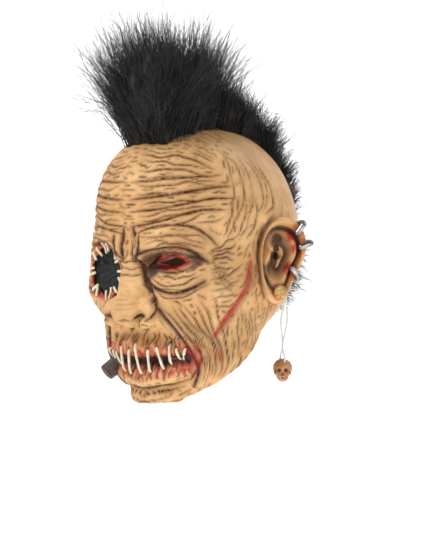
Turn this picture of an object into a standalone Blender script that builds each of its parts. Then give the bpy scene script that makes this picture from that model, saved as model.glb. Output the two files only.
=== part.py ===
"""An overhead latex horror mask with a fur mohawk, ear cuffs, a lobe plug, a hanging skull bead and a cigar.

Metres, +Z up, the face looks along -Y and the wearer's left ear is at +X. The origin is where the inside of
the crown sits on the wearer's head. The head is sculpted as a distance field of soft blobs and folds. Rays
from the middle of the head find its outer and inner faces, so the wall has one thickness all over.
"""
import math
from collections import namedtuple

import bmesh
import bpy
import numpy as np

# Head: the outside of the latex without the ears, and the wall
HEAD_WIDTH = 0.172
HEAD_DEPTH = 0.200
HEAD_HEIGHT = 0.262
WALL = 0.0022
GAP = 0.0003
SEAT_GAP = 0.0008

# Openings of the face
EYE_SLIT_WIDTH = 0.031
EYE_SLIT_HEIGHT = 0.0085
GOUGED_EYE_WIDTH = 0.041
GOUGED_EYE_HEIGHT = 0.045
NOSTRIL_DIAMETER = 0.0070
MOUTH_GROOVE_DEPTH = 0.0075
GAUZE_THICKNESS = 0.0010
GAUZE_SEAT = 0.0012
GAUZE_OVERLAP = 0.0045

# Ears
EAR_HEIGHT = 0.084
EAR_WIDTH = 0.047
EAR_SPREAD_DEG = 34.0
EAR_LEAN_DEG = 8.0
EAR_RELIEF = 0.0095
EAR_THICKNESS = 0.0065
EAR_PROUD = 0.0050
EAR_CANAL_DIAMETER = 0.0085

# Jewellery on the left ear
CUFF_WIRE = 0.0054
CUFF_LEG = 0.0105
PLUG_DIAMETER = 0.0125
PLUG_HEAD = 0.0040
PLUG_POST_DIAMETER = 0.0050
CORD_DIAMETER = 0.0017
CORD_DROP = 0.068
CORD_SPREAD = 0.0030
CORD_BEHIND = 0.0045
SKULL_WIDTH = 0.0185
SKULL_HEIGHT = 0.0215

# Cigar in the right corner of the mouth
CIGAR_DIAMETER = 0.0170
CIGAR_OUT = 0.019
CIGAR_IN = 0.012

# Fur mohawk
FUR_STRIP_WIDTH = 0.046
FUR_BACKING = 0.0060
FUR_LENGTH = 0.125
LOCK_WIDTH = 0.028

# Mesh fineness
HEAD_COLUMNS = 150
HEAD_ROWS = 86
LATEX_TRIANGLES = 4400
FUR_TRIANGLES = 1500

HALF_WIDTH = HEAD_WIDTH / 2
HALF_DEPTH = HEAD_DEPTH / 2
HALF_HEIGHT = HEAD_HEIGHT / 2
HALVES = np.array([HALF_WIDTH, HALF_DEPTH, HALF_HEIGHT])
BOTH, MIDDLE, LEFT, RIGHT = "both", "middle", "left", "right"

# Blobs of the head. Centre and radii are shares of the half width, half depth and half height; blend is metres.
Blob = namedtuple("Blob", "name sides x y z rx ry rz blend")
BLOBS = [
    Blob("cranium", MIDDLE, 0.00, -0.07, 0.23, 0.94, 0.90, 0.745, 0.0),
    Blob("crown", MIDDLE, 0.00, 0.00, 0.37, 0.88, 0.82, 0.59, 0.016),
    Blob("forehead", MIDDLE, 0.00, -0.40, 0.40, 0.97, 0.74, 0.59, 0.016),
    Blob("temple", BOTH, 0.46, 0.00, 0.08, 0.50, 0.60, 0.55, 0.020),
    Blob("mid face", MIDDLE, 0.00, -0.46, -0.12, 0.85, 0.58, 0.60, 0.020),
    Blob("jaw", MIDDLE, 0.00, -0.28, -0.60, 0.80, 0.62, 0.44, 0.022),
    Blob("muzzle", MIDDLE, 0.00, -0.49, -0.62, 0.57, 0.48, 0.28, 0.014),
    Blob("chin", MIDDLE, 0.00, -0.63, -0.85, 0.34, 0.26, 0.17, 0.014),
    Blob("cheekbone", BOTH, 0.59, -0.72, -0.17, 0.31, 0.27, 0.22, 0.014),
    Blob("outer orbit", RIGHT, 0.63, -0.83, 0.07, 0.16, 0.145, 0.23, 0.012),
    Blob("nose bridge", MIDDLE, 0.00, -1.01, -0.06, 0.13, 0.12, 0.20, 0.008),
    Blob("nose ridge", MIDDLE, 0.00, -1.05, -0.22, 0.16, 0.15, 0.18, 0.009),
    Blob("nose tip", MIDDLE, 0.00, -1.10, -0.320, 0.19, 0.150, 0.115, 0.007),
    Blob("nose wing", BOTH, 0.215, -0.96, -0.335, 0.125, 0.15, 0.090, 0.005),
]
# Hollows are taken away from the blobs in the same way.
HOLLOWS = [
    Blob("eye socket", LEFT, 0.44, -1.10, 0.02, 0.33, 0.22, 0.100, 0.010),
    Blob("gouged socket", RIGHT, 0.40, -1.22, -0.04, 0.22, 0.20, 0.16, 0.010),
    Blob("temple dip", BOTH, 1.12, -0.55, 0.10, 0.24, 0.42, 0.22, 0.020),
    Blob("cheek hollow", BOTH, 1.02, -0.84, -0.50, 0.26, 0.36, 0.24, 0.022),
    Blob("nostril dip", BOTH, 0.110, -1.10, -0.425, 0.085, 0.10, 0.045, 0.003),
]

# Folds follow the skin through their points: x and z are shares of the half width and half height, radius is a
# share of the half width, lift is how far the fold's middle stands out of the skin, as a share of its radius.
Fold = namedtuple("Fold", "name sides radius lift blend points")
FOLDS = [
    Fold("brow", LEFT, 0.135, -0.10, 0.007, [(0.14, 0.09), (0.30, 0.19), (0.50, 0.215), (0.68, 0.13)]),
    Fold("brow over the gouged eye", RIGHT, 0.110, -0.15, 0.007, [(0.12, 0.14), (0.30, 0.22), (0.55, 0.21)]),
    Fold("frown", BOTH, 0.060, -0.25, 0.004, [(0.09, 0.04), (0.10, 0.16)]),
    Fold("upper lid", LEFT, 0.050, 0.10, 0.004, [(0.20, -0.02), (0.33, 0.055), (0.50, 0.075), (0.68, 0.02)]),
    Fold("lower lid", LEFT, 0.050, 0.00, 0.004, [(0.22, -0.035), (0.36, -0.065), (0.54, -0.045), (0.67, 0.01)]),
    Fold("eye bag", LEFT, 0.075, -0.15, 0.006, [(0.28, -0.12), (0.42, -0.175), (0.58, -0.155), (0.70, -0.08)]),
    Fold("cheek pouch", BOTH, 0.105, -0.40, 0.009, [(0.30, -0.30), (0.46, -0.42), (0.58, -0.58), (0.58, -0.72)]),
    Fold("upper lip", MIDDLE, 0.080, -0.10, 0.005, [(-0.50, -0.63), (-0.25, -0.575), (0.0, -0.565), (0.25, -0.575),
                                                   (0.50, -0.63)]),
    Fold("lower lip", MIDDLE, 0.085, -0.10, 0.005, [(-0.47, -0.71), (-0.24, -0.775), (0.0, -0.79), (0.24, -0.775),
                                                   (0.47, -0.71)]),
    Fold("chin fold", MIDDLE, 0.100, -0.10, 0.007, [(-0.20, -0.92), (0.0, -0.945), (0.20, -0.92)]),
]
MOUTH_LINE = Fold("mouth", MIDDLE, 0.060, 0.0, 0.003, [(-0.52, -0.65), (-0.36, -0.665), (0.0, -0.685), (0.36, -0.665),
                                                       (0.52, -0.65)])

# Places on the face and the head, as shares of the half sizes
RAY_CENTRE = np.array([0.0, -0.12, 0.10]) * HALVES
EYE_SLIT_PLACE = (0.455, 0.015)
GOUGED_EYE_PLACE = (-0.440, -0.045)
NOSTRIL_PLACE = (0.105, -0.405)
CIGAR_PLACE = (-0.44, -0.68)
CIGAR_AIM = (-0.36, -0.62, -0.55)
EAR_PLACE_Y = -0.03
EAR_PLACE_Z = 0.065

# Lower rim from under the chin, up the jaw to behind the ear and level round the nape, as shares
RimPoint = namedtuple("RimPoint", "y z")
RIM = [RimPoint(-0.90, -0.965), RimPoint(-0.70, -0.960), RimPoint(-0.60, -0.89), RimPoint(-0.44, -0.77),
       RimPoint(-0.22, -0.63), RimPoint(0.00, -0.51), RimPoint(0.17, -0.41), RimPoint(0.80, -0.40)]

# Colours from the photo
Look = namedtuple("Look", "colour roughness metallic")
LATEX = Look((0.72, 0.46, 0.25), 0.45, 0.0)
FUR = Look((0.012, 0.012, 0.012), 0.70, 0.0)
GAUZE = Look((0.010, 0.010, 0.010), 0.80, 0.0)
SILVER = Look((0.55, 0.56, 0.57), 0.30, 1.0)
GOLD = Look((0.70, 0.42, 0.12), 0.45, 0.3)
CORD_WHITE = Look((0.85, 0.84, 0.80), 0.70, 0.0)
BONE = Look((0.42, 0.20, 0.09), 0.50, 0.0)
CIGAR_BROWN = Look((0.075, 0.060, 0.045), 0.75, 0.0)


# The distance field
def soft_union(a, b, blend):
    """The nearer of two distances, rounded where they are within the blend of each other."""
    if blend <= 0:
        return np.minimum(a, b)
    share = np.clip(0.5 + 0.5 * (b - a) / blend, 0, 1)
    return b + (a - b) * share - blend * share * (1 - share)


def soft_cut(a, b, blend):
    """Distance a with the shape of distance b taken away."""
    return -soft_union(-a, b, blend)


def ellipsoid(points, centre, radii):
    """Close to the distance to an ellipsoid's surface, below zero inside it."""
    offset = (points - centre) / radii
    near = np.linalg.norm(offset, axis=1)
    slope = np.linalg.norm(offset / radii, axis=1)
    return near * (near - 1) / np.maximum(slope, 1e-9)


def chain(points, line, radius):
    """Distance to a round-ended tube through the line's points, tapered to 0.6 of its radius at both ends."""
    best = None
    last = len(line) - 1
    for i in range(last):
        start, along = line[i], line[i + 1] - line[i]
        t = np.clip((points - start) @ along / (along @ along), 0, 1)
        share = (i + t) / last
        thick = radius * (0.6 + 0.4 * np.sin(math.pi * share) ** 0.5)
        distance = np.linalg.norm(points - start - t[:, None] * along, axis=1) - thick
        best = distance if best is None else np.minimum(best, distance)
    return best


def mirrored_sides(sides):
    """The signs of x at which a shape stands."""
    return {BOTH: (1, -1), MIDDLE: (1,), LEFT: (1,), RIGHT: (-1,)}[sides]


def blob_distance(points, blob, sign):
    centre = np.array([sign * blob.x, blob.y, blob.z]) * HALVES
    return ellipsoid(points, centre, np.array([blob.rx, blob.ry, blob.rz]) * HALVES)


def base_field(points):
    """Distance to the head before its folds."""
    field = None
    for blob in BLOBS:
        for sign in mirrored_sides(blob.sides):
            distance = blob_distance(points, blob, sign)
            field = distance if field is None else soft_union(field, distance, blob.blend)
    for blob in HOLLOWS:
        for sign in mirrored_sides(blob.sides):
            field = soft_cut(field, blob_distance(points, blob, sign), blob.blend)
    return field


def cast(field, centre, directions, level=0.0, start=2.6 * HALF_WIDTH, steps=44):
    """How far along each ray the outermost point lies where the field has that level."""
    reach = np.full(len(directions), start)
    for _ in range(steps):
        reach -= 0.85 * (field(centre + directions * reach[:, None]) - level)
    return reach


def front_skin(field, x, z, level=0.0):
    """The point of the face at x and z, seen from the front."""
    centre = np.array([x, 0.0, z])
    forward = np.array([[0.0, -1.0, 0.0]])
    return centre + forward[0] * cast(field, centre, forward, level)[0]


def slope_of(field, point, step=0.0008):
    """The outward normal of the field at a point."""
    offsets = np.eye(3) * step
    ends = np.vstack([point + offsets, point - offsets])
    values = field(ends)
    slope = values[:3] - values[3:]
    return slope / np.linalg.norm(slope)


def fold_lines(fold):
    """The fold's line in space, once for each side that it is on."""
    radius = fold.radius * HALF_WIDTH
    lines = []
    for sign in mirrored_sides(fold.sides):
        line = []
        for x, z in fold.points:
            point = front_skin(base_field, sign * x * HALF_WIDTH, z * HALF_HEIGHT)
            line.append(point + fold.lift * radius * slope_of(base_field, point))
        lines.append(np.array(line))
    return lines


FOLD_CHAINS = [(line, f.radius * HALF_WIDTH, f.blend) for f in FOLDS for line in fold_lines(f)]
MOUTH_CHAIN = fold_lines(MOUTH_LINE)[0]


def head_field(points):
    """Distance to the sculpted head, below zero inside it."""
    field = base_field(points)
    for line, radius, blend in FOLD_CHAINS:
        field = soft_union(field, chain(points, line, radius), blend)
    mouth = chain(points, MOUTH_CHAIN, MOUTH_LINE.radius * HALF_WIDTH)
    field = soft_cut(field, mouth, MOUTH_LINE.blend)
    return field


# Shared geometry helpers
def unit(vector):
    vector = np.asarray(vector, float)
    return vector / np.linalg.norm(vector)


def smooth_step(value):
    value = np.clip(value, 0, 1)
    return value * value * (3 - 2 * value)


def direction(turn, rise):
    """Unit vectors for turns round the head from the face, towards the left ear, and rises above the level."""
    return np.stack([np.sin(turn) * np.cos(rise), -np.cos(turn) * np.cos(rise), np.sin(rise)], axis=-1)


def rim_height(points):
    """How far each point lies above the lower rim."""
    height = np.interp(points[:, 1] / HALF_DEPTH, [p.y for p in RIM], [p.z for p in RIM])
    return points[:, 2] - height * HALF_HEIGHT


def rim_rises(turns):
    """The rise of the lower rim for each turn round the head, by halving."""
    low = np.full(len(turns), math.radians(-80))
    high = np.full(len(turns), math.radians(10))
    for _ in range(14):
        middle = (low + high) / 2
        rays = direction(turns, middle)
        reach = cast(head_field, RAY_CENTRE, rays, steps=26)
        above = rim_height(RAY_CENTRE + rays * reach[:, None]) > 0
        high = np.where(above, middle, high)
        low = np.where(above, low, middle)
    return (low + high) / 2


def new_object(name, vertices, faces, look, parent):
    """A named object from points and faces, with its own material."""
    mesh = bpy.data.meshes.new(name)
    mesh.from_pydata([tuple(map(float, v)) for v in vertices], [], faces)
    mesh.validate()
    made = bpy.data.objects.new(name, mesh)
    bpy.context.scene.collection.objects.link(made)
    made.parent = parent
    if look is not None:
        paint(made, look)
    make_outward(made)
    return made


def paint(made, look):
    material = bpy.data.materials.new(made.name)
    material.use_nodes = True
    shader = material.node_tree.nodes["Principled BSDF"]
    shader.inputs["Base Color"].default_value = (*look.colour, 1.0)
    shader.inputs["Roughness"].default_value = look.roughness
    shader.inputs["Metallic"].default_value = look.metallic
    made.data.materials.clear()
    made.data.materials.append(material)


def make_outward(made):
    """Turns every face of a closed mesh outwards."""
    cleaned = bmesh.new()
    cleaned.from_mesh(made.data)
    bmesh.ops.recalc_face_normals(cleaned, faces=cleaned.faces)
    if cleaned.calc_volume(signed=True) < 0:
        bmesh.ops.reverse_faces(cleaned, faces=cleaned.faces)
    cleaned.to_mesh(made.data)
    cleaned.free()


def helper(made):
    """Marks a cutter or a guide, which isn't part of the mask."""
    made.hide_render = True
    made.display_type = "WIRE"
    return made


def keep_evaluated(made):
    """Applies the object's modifiers to its mesh."""
    bpy.context.view_layer.update()
    evaluated = made.evaluated_get(bpy.context.evaluated_depsgraph_get())
    mesh = bpy.data.meshes.new_from_object(evaluated)
    made.modifiers.clear()
    made.data = mesh


def volume_of(made):
    measured = bmesh.new()
    measured.from_mesh(made.data)
    volume = measured.calc_volume()
    measured.free()
    return volume


def boolean(made, other, operation):
    """Joins another mesh to this one or cuts it away, and removes the other."""
    before, mesh = volume_of(made), made.data
    for solver in ("EXACT", "MANIFOLD"):
        made.data = mesh
        modifier = made.modifiers.new(operation.title(), "BOOLEAN")
        modifier.operation = operation
        modifier.solver = solver
        modifier.object = other
        keep_evaluated(made)
        if volume_of(made) > 0.6 * before:
            break
    bpy.data.objects.remove(other)


def keep_largest_body(made):
    """Removes the small hollows that stay trapped where solids are joined."""
    joined = bmesh.new()
    joined.from_mesh(made.data)
    unseen = set(joined.verts)
    bodies = []
    while unseen:
        body, edge = set(), [unseen.pop()]
        while edge:
            vertex = edge.pop()
            body.add(vertex)
            near = [e.other_vert(vertex) for e in vertex.link_edges]
            edge.extend(v for v in near if v in unseen)
            unseen.difference_update(near)
        bodies.append(body)
    largest = max(bodies, key=len)
    bmesh.ops.delete(joined, geom=[v for v in joined.verts if v not in largest], context="VERTS")
    joined.to_mesh(made.data)
    joined.free()


def decimate(made, wanted):
    """Takes triangles out where the surface is nearly flat, down to the number wanted."""
    corners = sum(len(p.vertices) - 2 for p in made.data.polygons)
    modifier = made.modifiers.new("Decimate", "DECIMATE")
    modifier.ratio = min(1.0, wanted / corners)
    keep_evaluated(made)


def grid_faces(rows, columns, first=0, closed=True):
    """Quads of a grid whose rows follow each other, closed round each row or not."""
    faces = []
    for i in range(rows - 1):
        for j in range(columns if closed else columns - 1):
            k = (j + 1) % columns
            a, b = first + i * columns, first + (i + 1) * columns
            faces.append((a + j, a + k, b + k, b + j))
    return faces


def fan_faces(ring_first, columns, tip):
    return [(ring_first + j, ring_first + (j + 1) % columns, tip) for j in range(columns)]


# The latex head
def head_grid(level, rows, columns, bottom=None):
    """Points of the face at a level of the field: rows from the rim up to just under the crown, then the crown."""
    share = np.arange(columns) / columns * 2 * math.pi
    turns = share - 0.42 * np.sin(share)
    bottom = rim_rises(turns) if bottom is None else bottom
    climb = np.arange(rows) / rows
    rises = bottom[None, :] + (math.pi / 2 - bottom[None, :]) * climb[:, None]
    rays = direction(np.broadcast_to(turns, rises.shape), rises).reshape(-1, 3)
    rays = np.vstack([rays, [0, 0, 1]])
    reach = cast(head_field, RAY_CENTRE, rays, level)
    return RAY_CENTRE + rays * reach[:, None], bottom


def head_shell(parent):
    """The hollow head: outer face, inner face and the rim between them, as one closed mesh."""
    inner_rows = HEAD_ROWS // 2
    outer, bottom = head_grid(0.0, HEAD_ROWS, HEAD_COLUMNS)
    inner, _ = head_grid(-WALL, inner_rows, HEAD_COLUMNS, bottom)
    faces = grid_faces(HEAD_ROWS, HEAD_COLUMNS)
    faces += fan_faces((HEAD_ROWS - 1) * HEAD_COLUMNS, HEAD_COLUMNS, len(outer) - 1)
    faces += [f[::-1] for f in grid_faces(inner_rows, HEAD_COLUMNS, len(outer))]
    last = len(outer) + (inner_rows - 1) * HEAD_COLUMNS
    faces += [f[::-1] for f in fan_faces(last, HEAD_COLUMNS, len(outer) + len(inner) - 1)]
    for j in range(HEAD_COLUMNS):
        k = (j + 1) % HEAD_COLUMNS
        faces.append((k, j, len(outer) + j, len(outer) + k))
    made = new_object("mask_shell", np.vstack([outer, inner]), faces, LATEX, parent)
    decimate(made, LATEX_TRIANGLES)
    return made, bottom


def head_solid(level, rows, bottom, parent):
    """The head filled up to a level of the field and closed below, as a cutter."""
    points, _ = head_grid(level, rows, HEAD_COLUMNS, bottom)
    below = points[:HEAD_COLUMNS].mean(axis=0)
    faces = grid_faces(rows, HEAD_COLUMNS)
    faces += fan_faces((rows - 1) * HEAD_COLUMNS, HEAD_COLUMNS, len(points) - 1)
    faces += [f[::-1] for f in fan_faces(0, HEAD_COLUMNS, len(points))]
    return helper(new_object("head_solid", np.vstack([points, below]), faces, None, parent))


# The ears: a relief over a plate, in polar rings round the bowl
EAR_RINGS = 9
EAR_SPOKES = 26
EarPoint = namedtuple("EarPoint", "angle_deg reach")
# The outline: reach from the bowl's middle as a share of the ear's height, for angles from the back upwards
EAR_OUTLINE = [EarPoint(0, 0.30), EarPoint(19, 0.34), EarPoint(41, 0.39), EarPoint(63, 0.43), EarPoint(85, 0.43),
               EarPoint(107, 0.42), EarPoint(125, 0.36), EarPoint(146, 0.28), EarPoint(180, 0.24),
               EarPoint(215, 0.26), EarPoint(240, 0.34), EarPoint(262, 0.48), EarPoint(275, 0.58),
               EarPoint(287, 0.50), EarPoint(297, 0.40), EarPoint(310, 0.32), EarPoint(335, 0.28)]


def ear_reach(angle):
    """How far the ear's outline lies from its middle, in a smooth closed curve through the table."""
    degrees = np.degrees(angle) % 360
    marks = np.array([p.angle_deg for p in EAR_OUTLINE] + [360], float)
    reaches = np.array([p.reach for p in EAR_OUTLINE] + [EAR_OUTLINE[0].reach])
    total = 0
    for shift in (-12, -6, 0, 6, 12):
        total = total + np.interp((degrees + shift) % 360, marks, reaches)
    return total / 5 * EAR_HEIGHT


def ear_relief(angle, ring):
    """The height of the ear's front over its plate, as a share: rim, groove, inner ridge, bowl and lobe."""
    lobe = np.exp(-((angle - math.radians(275)) / 0.50) ** 2)
    front = np.exp(-((np.angle(np.exp(1j * (angle - math.pi)))) / 0.55) ** 2)
    rim = (0.85 - 0.45 * lobe) * np.exp(-((ring - 0.90) / 0.105) ** 2)
    groove = -0.30 * (1 - lobe) * np.exp(-((ring - 0.72) / 0.08) ** 2)
    behind = np.exp(-((np.angle(np.exp(1j * (angle - 0.25)))) / 1.35) ** 2)
    ridge = 0.55 * behind * np.exp(-((ring - 0.54) / 0.11) ** 2)
    bowl = -0.75 * np.exp(-(ring / 0.36) ** 2)
    tragus = 0.75 * front * np.exp(-((ring - 0.55) / 0.18) ** 2)
    swell = 0.35 * lobe * np.exp(-((ring - 0.72) / 0.20) ** 2)
    return rim + groove + ridge + bowl + tragus + swell


def ear_axes(sign):
    """The ear's middle and its axes: towards the back of the head, up the ear, and out of its face."""
    spread, lean = math.radians(EAR_SPREAD_DEG), math.radians(EAR_LEAN_DEG)
    back = np.array([sign * math.sin(spread), math.cos(spread), 0.0])
    up = np.array([0.0, 0.0, 1.0])
    backward = math.cos(lean) * back - math.sin(lean) * up
    upward = math.cos(lean) * up + math.sin(lean) * back
    outward = np.cross(backward, upward) * sign
    side = np.array([[sign, 0.0, 0.0]])
    root = np.array([0.0, EAR_PLACE_Y * HALF_DEPTH, EAR_PLACE_Z * HALF_HEIGHT])
    root = root + side[0] * cast(head_field, root, side)[0]
    middle = root + outward * EAR_PROUD
    return middle, backward * (EAR_WIDTH / (0.58 * EAR_HEIGHT)), upward, outward


def ear_point(sign, angle, ring, behind=False, lift=0.0):
    """A point on the ear's front or back face, lifted off it."""
    middle, backward, upward, outward = ear_axes(sign)
    reach = ear_reach(np.asarray(angle)) * ring
    plate = middle + np.outer(reach * np.cos(angle), backward) + np.outer(reach * np.sin(angle), upward)
    if behind:
        height = -EAR_THICKNESS * (1 - np.asarray(ring) ** 4) ** 0.5 - lift
    else:
        height = EAR_RELIEF * ear_relief(angle, ring) * (1 - np.asarray(ring) ** 12) + lift
    return plate + np.outer(height, outward)


def ear_solid(sign, parent):
    """A closed ear: rings from the bowl to the outline in front, and back again behind."""
    angles = np.arange(EAR_SPOKES) / EAR_SPOKES * 2 * math.pi
    shares = 1 - (1 - np.arange(1, EAR_RINGS + 1) / EAR_RINGS) ** 1.25
    points = [ear_point(sign, angles[:1], np.array([0.0]))]
    for share in shares:
        points.append(ear_point(sign, angles, np.full(EAR_SPOKES, share)))
    back_shares = shares[-2::-2]
    for share in back_shares:
        points.append(ear_point(sign, angles, np.full(EAR_SPOKES, share), behind=True))
    points.append(ear_point(sign, angles[:1], np.array([0.0]), behind=True))
    rings = len(shares) + len(back_shares)
    faces = [(0, 1 + (j + 1) % EAR_SPOKES, 1 + j) for j in range(EAR_SPOKES)]
    faces += grid_faces(rings, EAR_SPOKES, 1)
    tip = 1 + rings * EAR_SPOKES
    faces += fan_faces(1 + (rings - 1) * EAR_SPOKES, EAR_SPOKES, tip)
    name = "ear_left" if sign > 0 else "ear_right"
    return new_object(name, np.vstack(points), faces, None, parent)


# Cutters
def frame_along(axis, up=(0.0, 0.0, 1.0)):
    """Two directions across an axis, the second one as near to up as it can be."""
    axis = unit(axis)
    across = unit(np.cross(up, axis))
    return across, np.cross(axis, across)


def prism(name, middle, axis, outline, before, after, parent, look=None):
    """A closed prism along an axis, whose outline holds (across, up) offsets, from before to after the middle."""
    axis = unit(axis)
    across, upward = frame_along(axis)
    count = len(outline)
    ring = np.array([a * across + u * upward for a, u in outline])
    points = np.vstack([middle - axis * before + ring, middle + axis * after + ring])
    faces = grid_faces(2, count)
    faces.append(tuple(range(count))[::-1])
    faces.append(tuple(range(count, 2 * count)))
    return new_object(name, points, faces, look, parent)


def circle(radius_across, radius_up, count=16):
    angles = np.arange(count) / count * 2 * math.pi
    return [(radius_across * math.cos(a), radius_up * math.sin(a)) for a in angles]


def almond(width, height, count=9):
    """An eye's outline from two arcs that meet at its corners."""
    shares = np.arange(count) / (count - 1)
    lower = [(width * (s - 0.5), -0.42 * height * math.sin(math.pi * s)) for s in shares]
    upper = [(width * (s - 0.5), 0.58 * height * math.sin(math.pi * s)) for s in shares[-2:0:-1]]
    return lower + upper


def face_place(place):
    """The skin point and its outward normal at a place of the face, given as shares."""
    point = front_skin(head_field, place[0] * HALF_WIDTH, place[1] * HALF_HEIGHT)
    return point, slope_of(base_field, point, 0.006)


def level_axis(normal, rise=0.0):
    """The normal turned level, with a set rise."""
    return unit([normal[0], normal[1], rise * math.hypot(normal[0], normal[1])])


def cut_openings(shell, parent):
    """Cuts the eye slit, the gouged eye, the nostrils, the ear canals, the cigar's hole and the plug's hole."""
    depth = 0.5 * HALF_WIDTH
    point, normal = face_place(EYE_SLIT_PLACE)
    outline = almond(EYE_SLIT_WIDTH, EYE_SLIT_HEIGHT)
    boolean(shell, prism("slit", point, level_axis(normal), outline, depth, depth, parent), "DIFFERENCE")
    point, normal = face_place(GOUGED_EYE_PLACE)
    outline = circle(GOUGED_EYE_WIDTH / 2, GOUGED_EYE_HEIGHT / 2, 20)
    boolean(shell, prism("gouge", point, level_axis(normal), outline, depth, depth, parent), "DIFFERENCE")
    for sign in (1, -1):
        x, z = NOSTRIL_PLACE
        point = front_skin(head_field, sign * x * HALF_WIDTH, z * HALF_HEIGHT)
        outline = circle(NOSTRIL_DIAMETER / 2, NOSTRIL_DIAMETER * 0.62, 10)
        up_the_nose = unit([0.0, 0.45, 1.0])
        below, above = 3 * NOSTRIL_DIAMETER, 1.15 * NOSTRIL_DIAMETER
        boolean(shell, prism("nostril", point, up_the_nose, outline, below, above, parent), "DIFFERENCE")
        canal = ear_point(sign, np.array([math.radians(190)]), np.array([0.10]))[0]
        outline = circle(EAR_CANAL_DIAMETER / 2, EAR_CANAL_DIAMETER / 2, 12)
        inward = unit([-sign, 0.05, 0.0])
        boolean(shell, prism("canal", canal, inward, outline, depth, depth, parent), "DIFFERENCE")


# Pieces that sit on the latex
def plug_place():
    """Where the plug goes through the left lobe: front face, back face and the axis out of the front."""
    angle, ring = np.array([math.radians(279)]), np.array([0.76])
    _, _, _, outward = ear_axes(1)
    return ear_point(1, angle, ring)[0], ear_point(1, angle, ring, behind=True)[0], outward


def lobe_plug(shell, parent):
    """A nugget on the lobe's face, with a plain post and a small foot behind it, as one turned piece."""
    front, back, axis = plug_place()
    cutter_outline = circle(PLUG_POST_DIAMETER / 2 + GAP, PLUG_POST_DIAMETER / 2 + GAP, 14)
    thickness = (front - back) @ axis
    reach = thickness + PLUG_DIAMETER
    boolean(shell, prism("plug_hole", front, axis, cutter_outline, reach, PLUG_DIAMETER, parent), "DIFFERENCE")
    across, upward = frame_along(axis)
    proud = 2.5 * GAP + 0.0012
    radius, post = PLUG_DIAMETER / 2, PLUG_POST_DIAMETER / 2
    profile = [(0.0, -thickness - proud - 0.0016), (0.75 * radius, -thickness - proud - 0.0016),
               (0.75 * radius, -thickness - proud), (post, -thickness - proud), (post, proud), (0.92 * radius, proud),
               (radius, proud + 0.45 * PLUG_HEAD), (0.72 * radius, proud + PLUG_HEAD), (0.0, proud + 1.1 * PLUG_HEAD)]
    return turned("lobe_plug", front, axis, across, upward, profile, 14, GOLD, parent)


def turned(name, middle, axis, across, upward, profile, count, look, parent):
    """A solid of revolution from (radius, height) pairs, whose first and last radius are zero."""
    angles = np.arange(count) / count * 2 * math.pi
    points = [middle + axis * profile[0][1]]
    for radius, height in profile[1:-1]:
        ring = np.outer(np.cos(angles), across) + np.outer(np.sin(angles), upward)
        points.extend(middle + axis * height + ring * radius)
    points.append(middle + axis * profile[-1][1])
    rings = len(profile) - 2
    faces = [(0, 1 + (j + 1) % count, 1 + j) for j in range(count)]
    faces += grid_faces(rings, count, 1)
    faces += fan_faces(1 + (rings - 1) * count, count, len(points) - 1)
    return new_object(name, points, faces, look, parent)


def tube(name, line, radius, look, parent, resolution=2):
    """A round tube along a line of points, with filled ends."""
    curve = bpy.data.curves.new(name, "CURVE")
    curve.dimensions = "3D"
    curve.bevel_depth = radius
    curve.bevel_resolution = resolution
    curve.use_fill_caps = True
    spline = curve.splines.new("POLY")
    spline.points.add(len(line) - 1)
    for point, place in zip(spline.points, line):
        point.co = (*map(float, place), 1.0)
    made = bpy.data.objects.new(name, curve)
    bpy.context.scene.collection.objects.link(made)
    made.parent = parent
    paint(made, look)
    return made


CUFF_ANGLES_DEG = [60.0, 29.0, -40.0]


def ear_cuff(number, angle_deg, parent):
    """A thick silver staple bent over the ear's rim: one leg in front of it and one behind."""
    angle = math.radians(angle_deg)
    angles = np.array([angle])
    _, backward, upward, outward = ear_axes(1)
    rim = ear_point(1, angles, np.array([1.0]))[0]
    radial = unit(math.cos(angle) * backward + math.sin(angle) * upward)
    reach = ear_reach(angles)[0] * np.linalg.norm(math.cos(angle) * backward + math.sin(angle) * upward)
    clear = CUFF_WIRE / 2 + 2 * GAP
    rings = np.linspace(1 - CUFF_LEG * 1.15 / reach, 1.0, 8)
    around = [angle + turn for turn in (-0.10, 0.0, 0.10)]
    front_points = np.vstack([ear_point(1, np.full(8, a), rings) for a in around])
    back_points = np.vstack([ear_point(1, np.full(8, a), rings, behind=True) for a in around])
    front_height = ((front_points - rim) @ outward).max() + clear
    back_height = ((back_points - rim) @ outward).min() - clear
    bend = (front_height - back_height) / 2
    middle = rim + outward * (front_height + back_height) / 2
    out = clear - 0.35 * bend
    line = [middle + outward * bend - radial * CUFF_LEG]
    for k in range(9):
        turn = math.pi / 2 - math.pi * k / 8
        line.append(middle + radial * (out + 0.35 * bend * math.cos(turn)) + outward * bend * math.sin(turn))
    line.append(middle - outward * bend - radial * CUFF_LEG)
    return tube(f"ear_cuff_{number}", line, CUFF_WIRE / 2, SILVER, parent)


# The two ends of the cord, on the back of the left lobe
CORD_ENDS = [EarPoint(296, 0.80), EarPoint(290, 0.84)]


def pendant_places():
    """The cord's two ends, the middle of the bead's hole, and the directions of the hole and of the cheek."""
    ends = []
    for end in CORD_ENDS:
        ends.append(ear_point(1, np.array([math.radians(end.angle_deg)]), np.array([end.reach]), behind=True)[0])
    _, _, _, outward = ear_axes(1)
    side = unit([outward[0], outward[1], 0.0])
    forward = np.cross(side, [0.0, 0.0, 1.0])
    low = (ends[0] + ends[1]) / 2 - side * CORD_BEHIND + np.array([0.0, 0.0, -CORD_DROP])
    return ends, low, side, forward, outward


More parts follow.
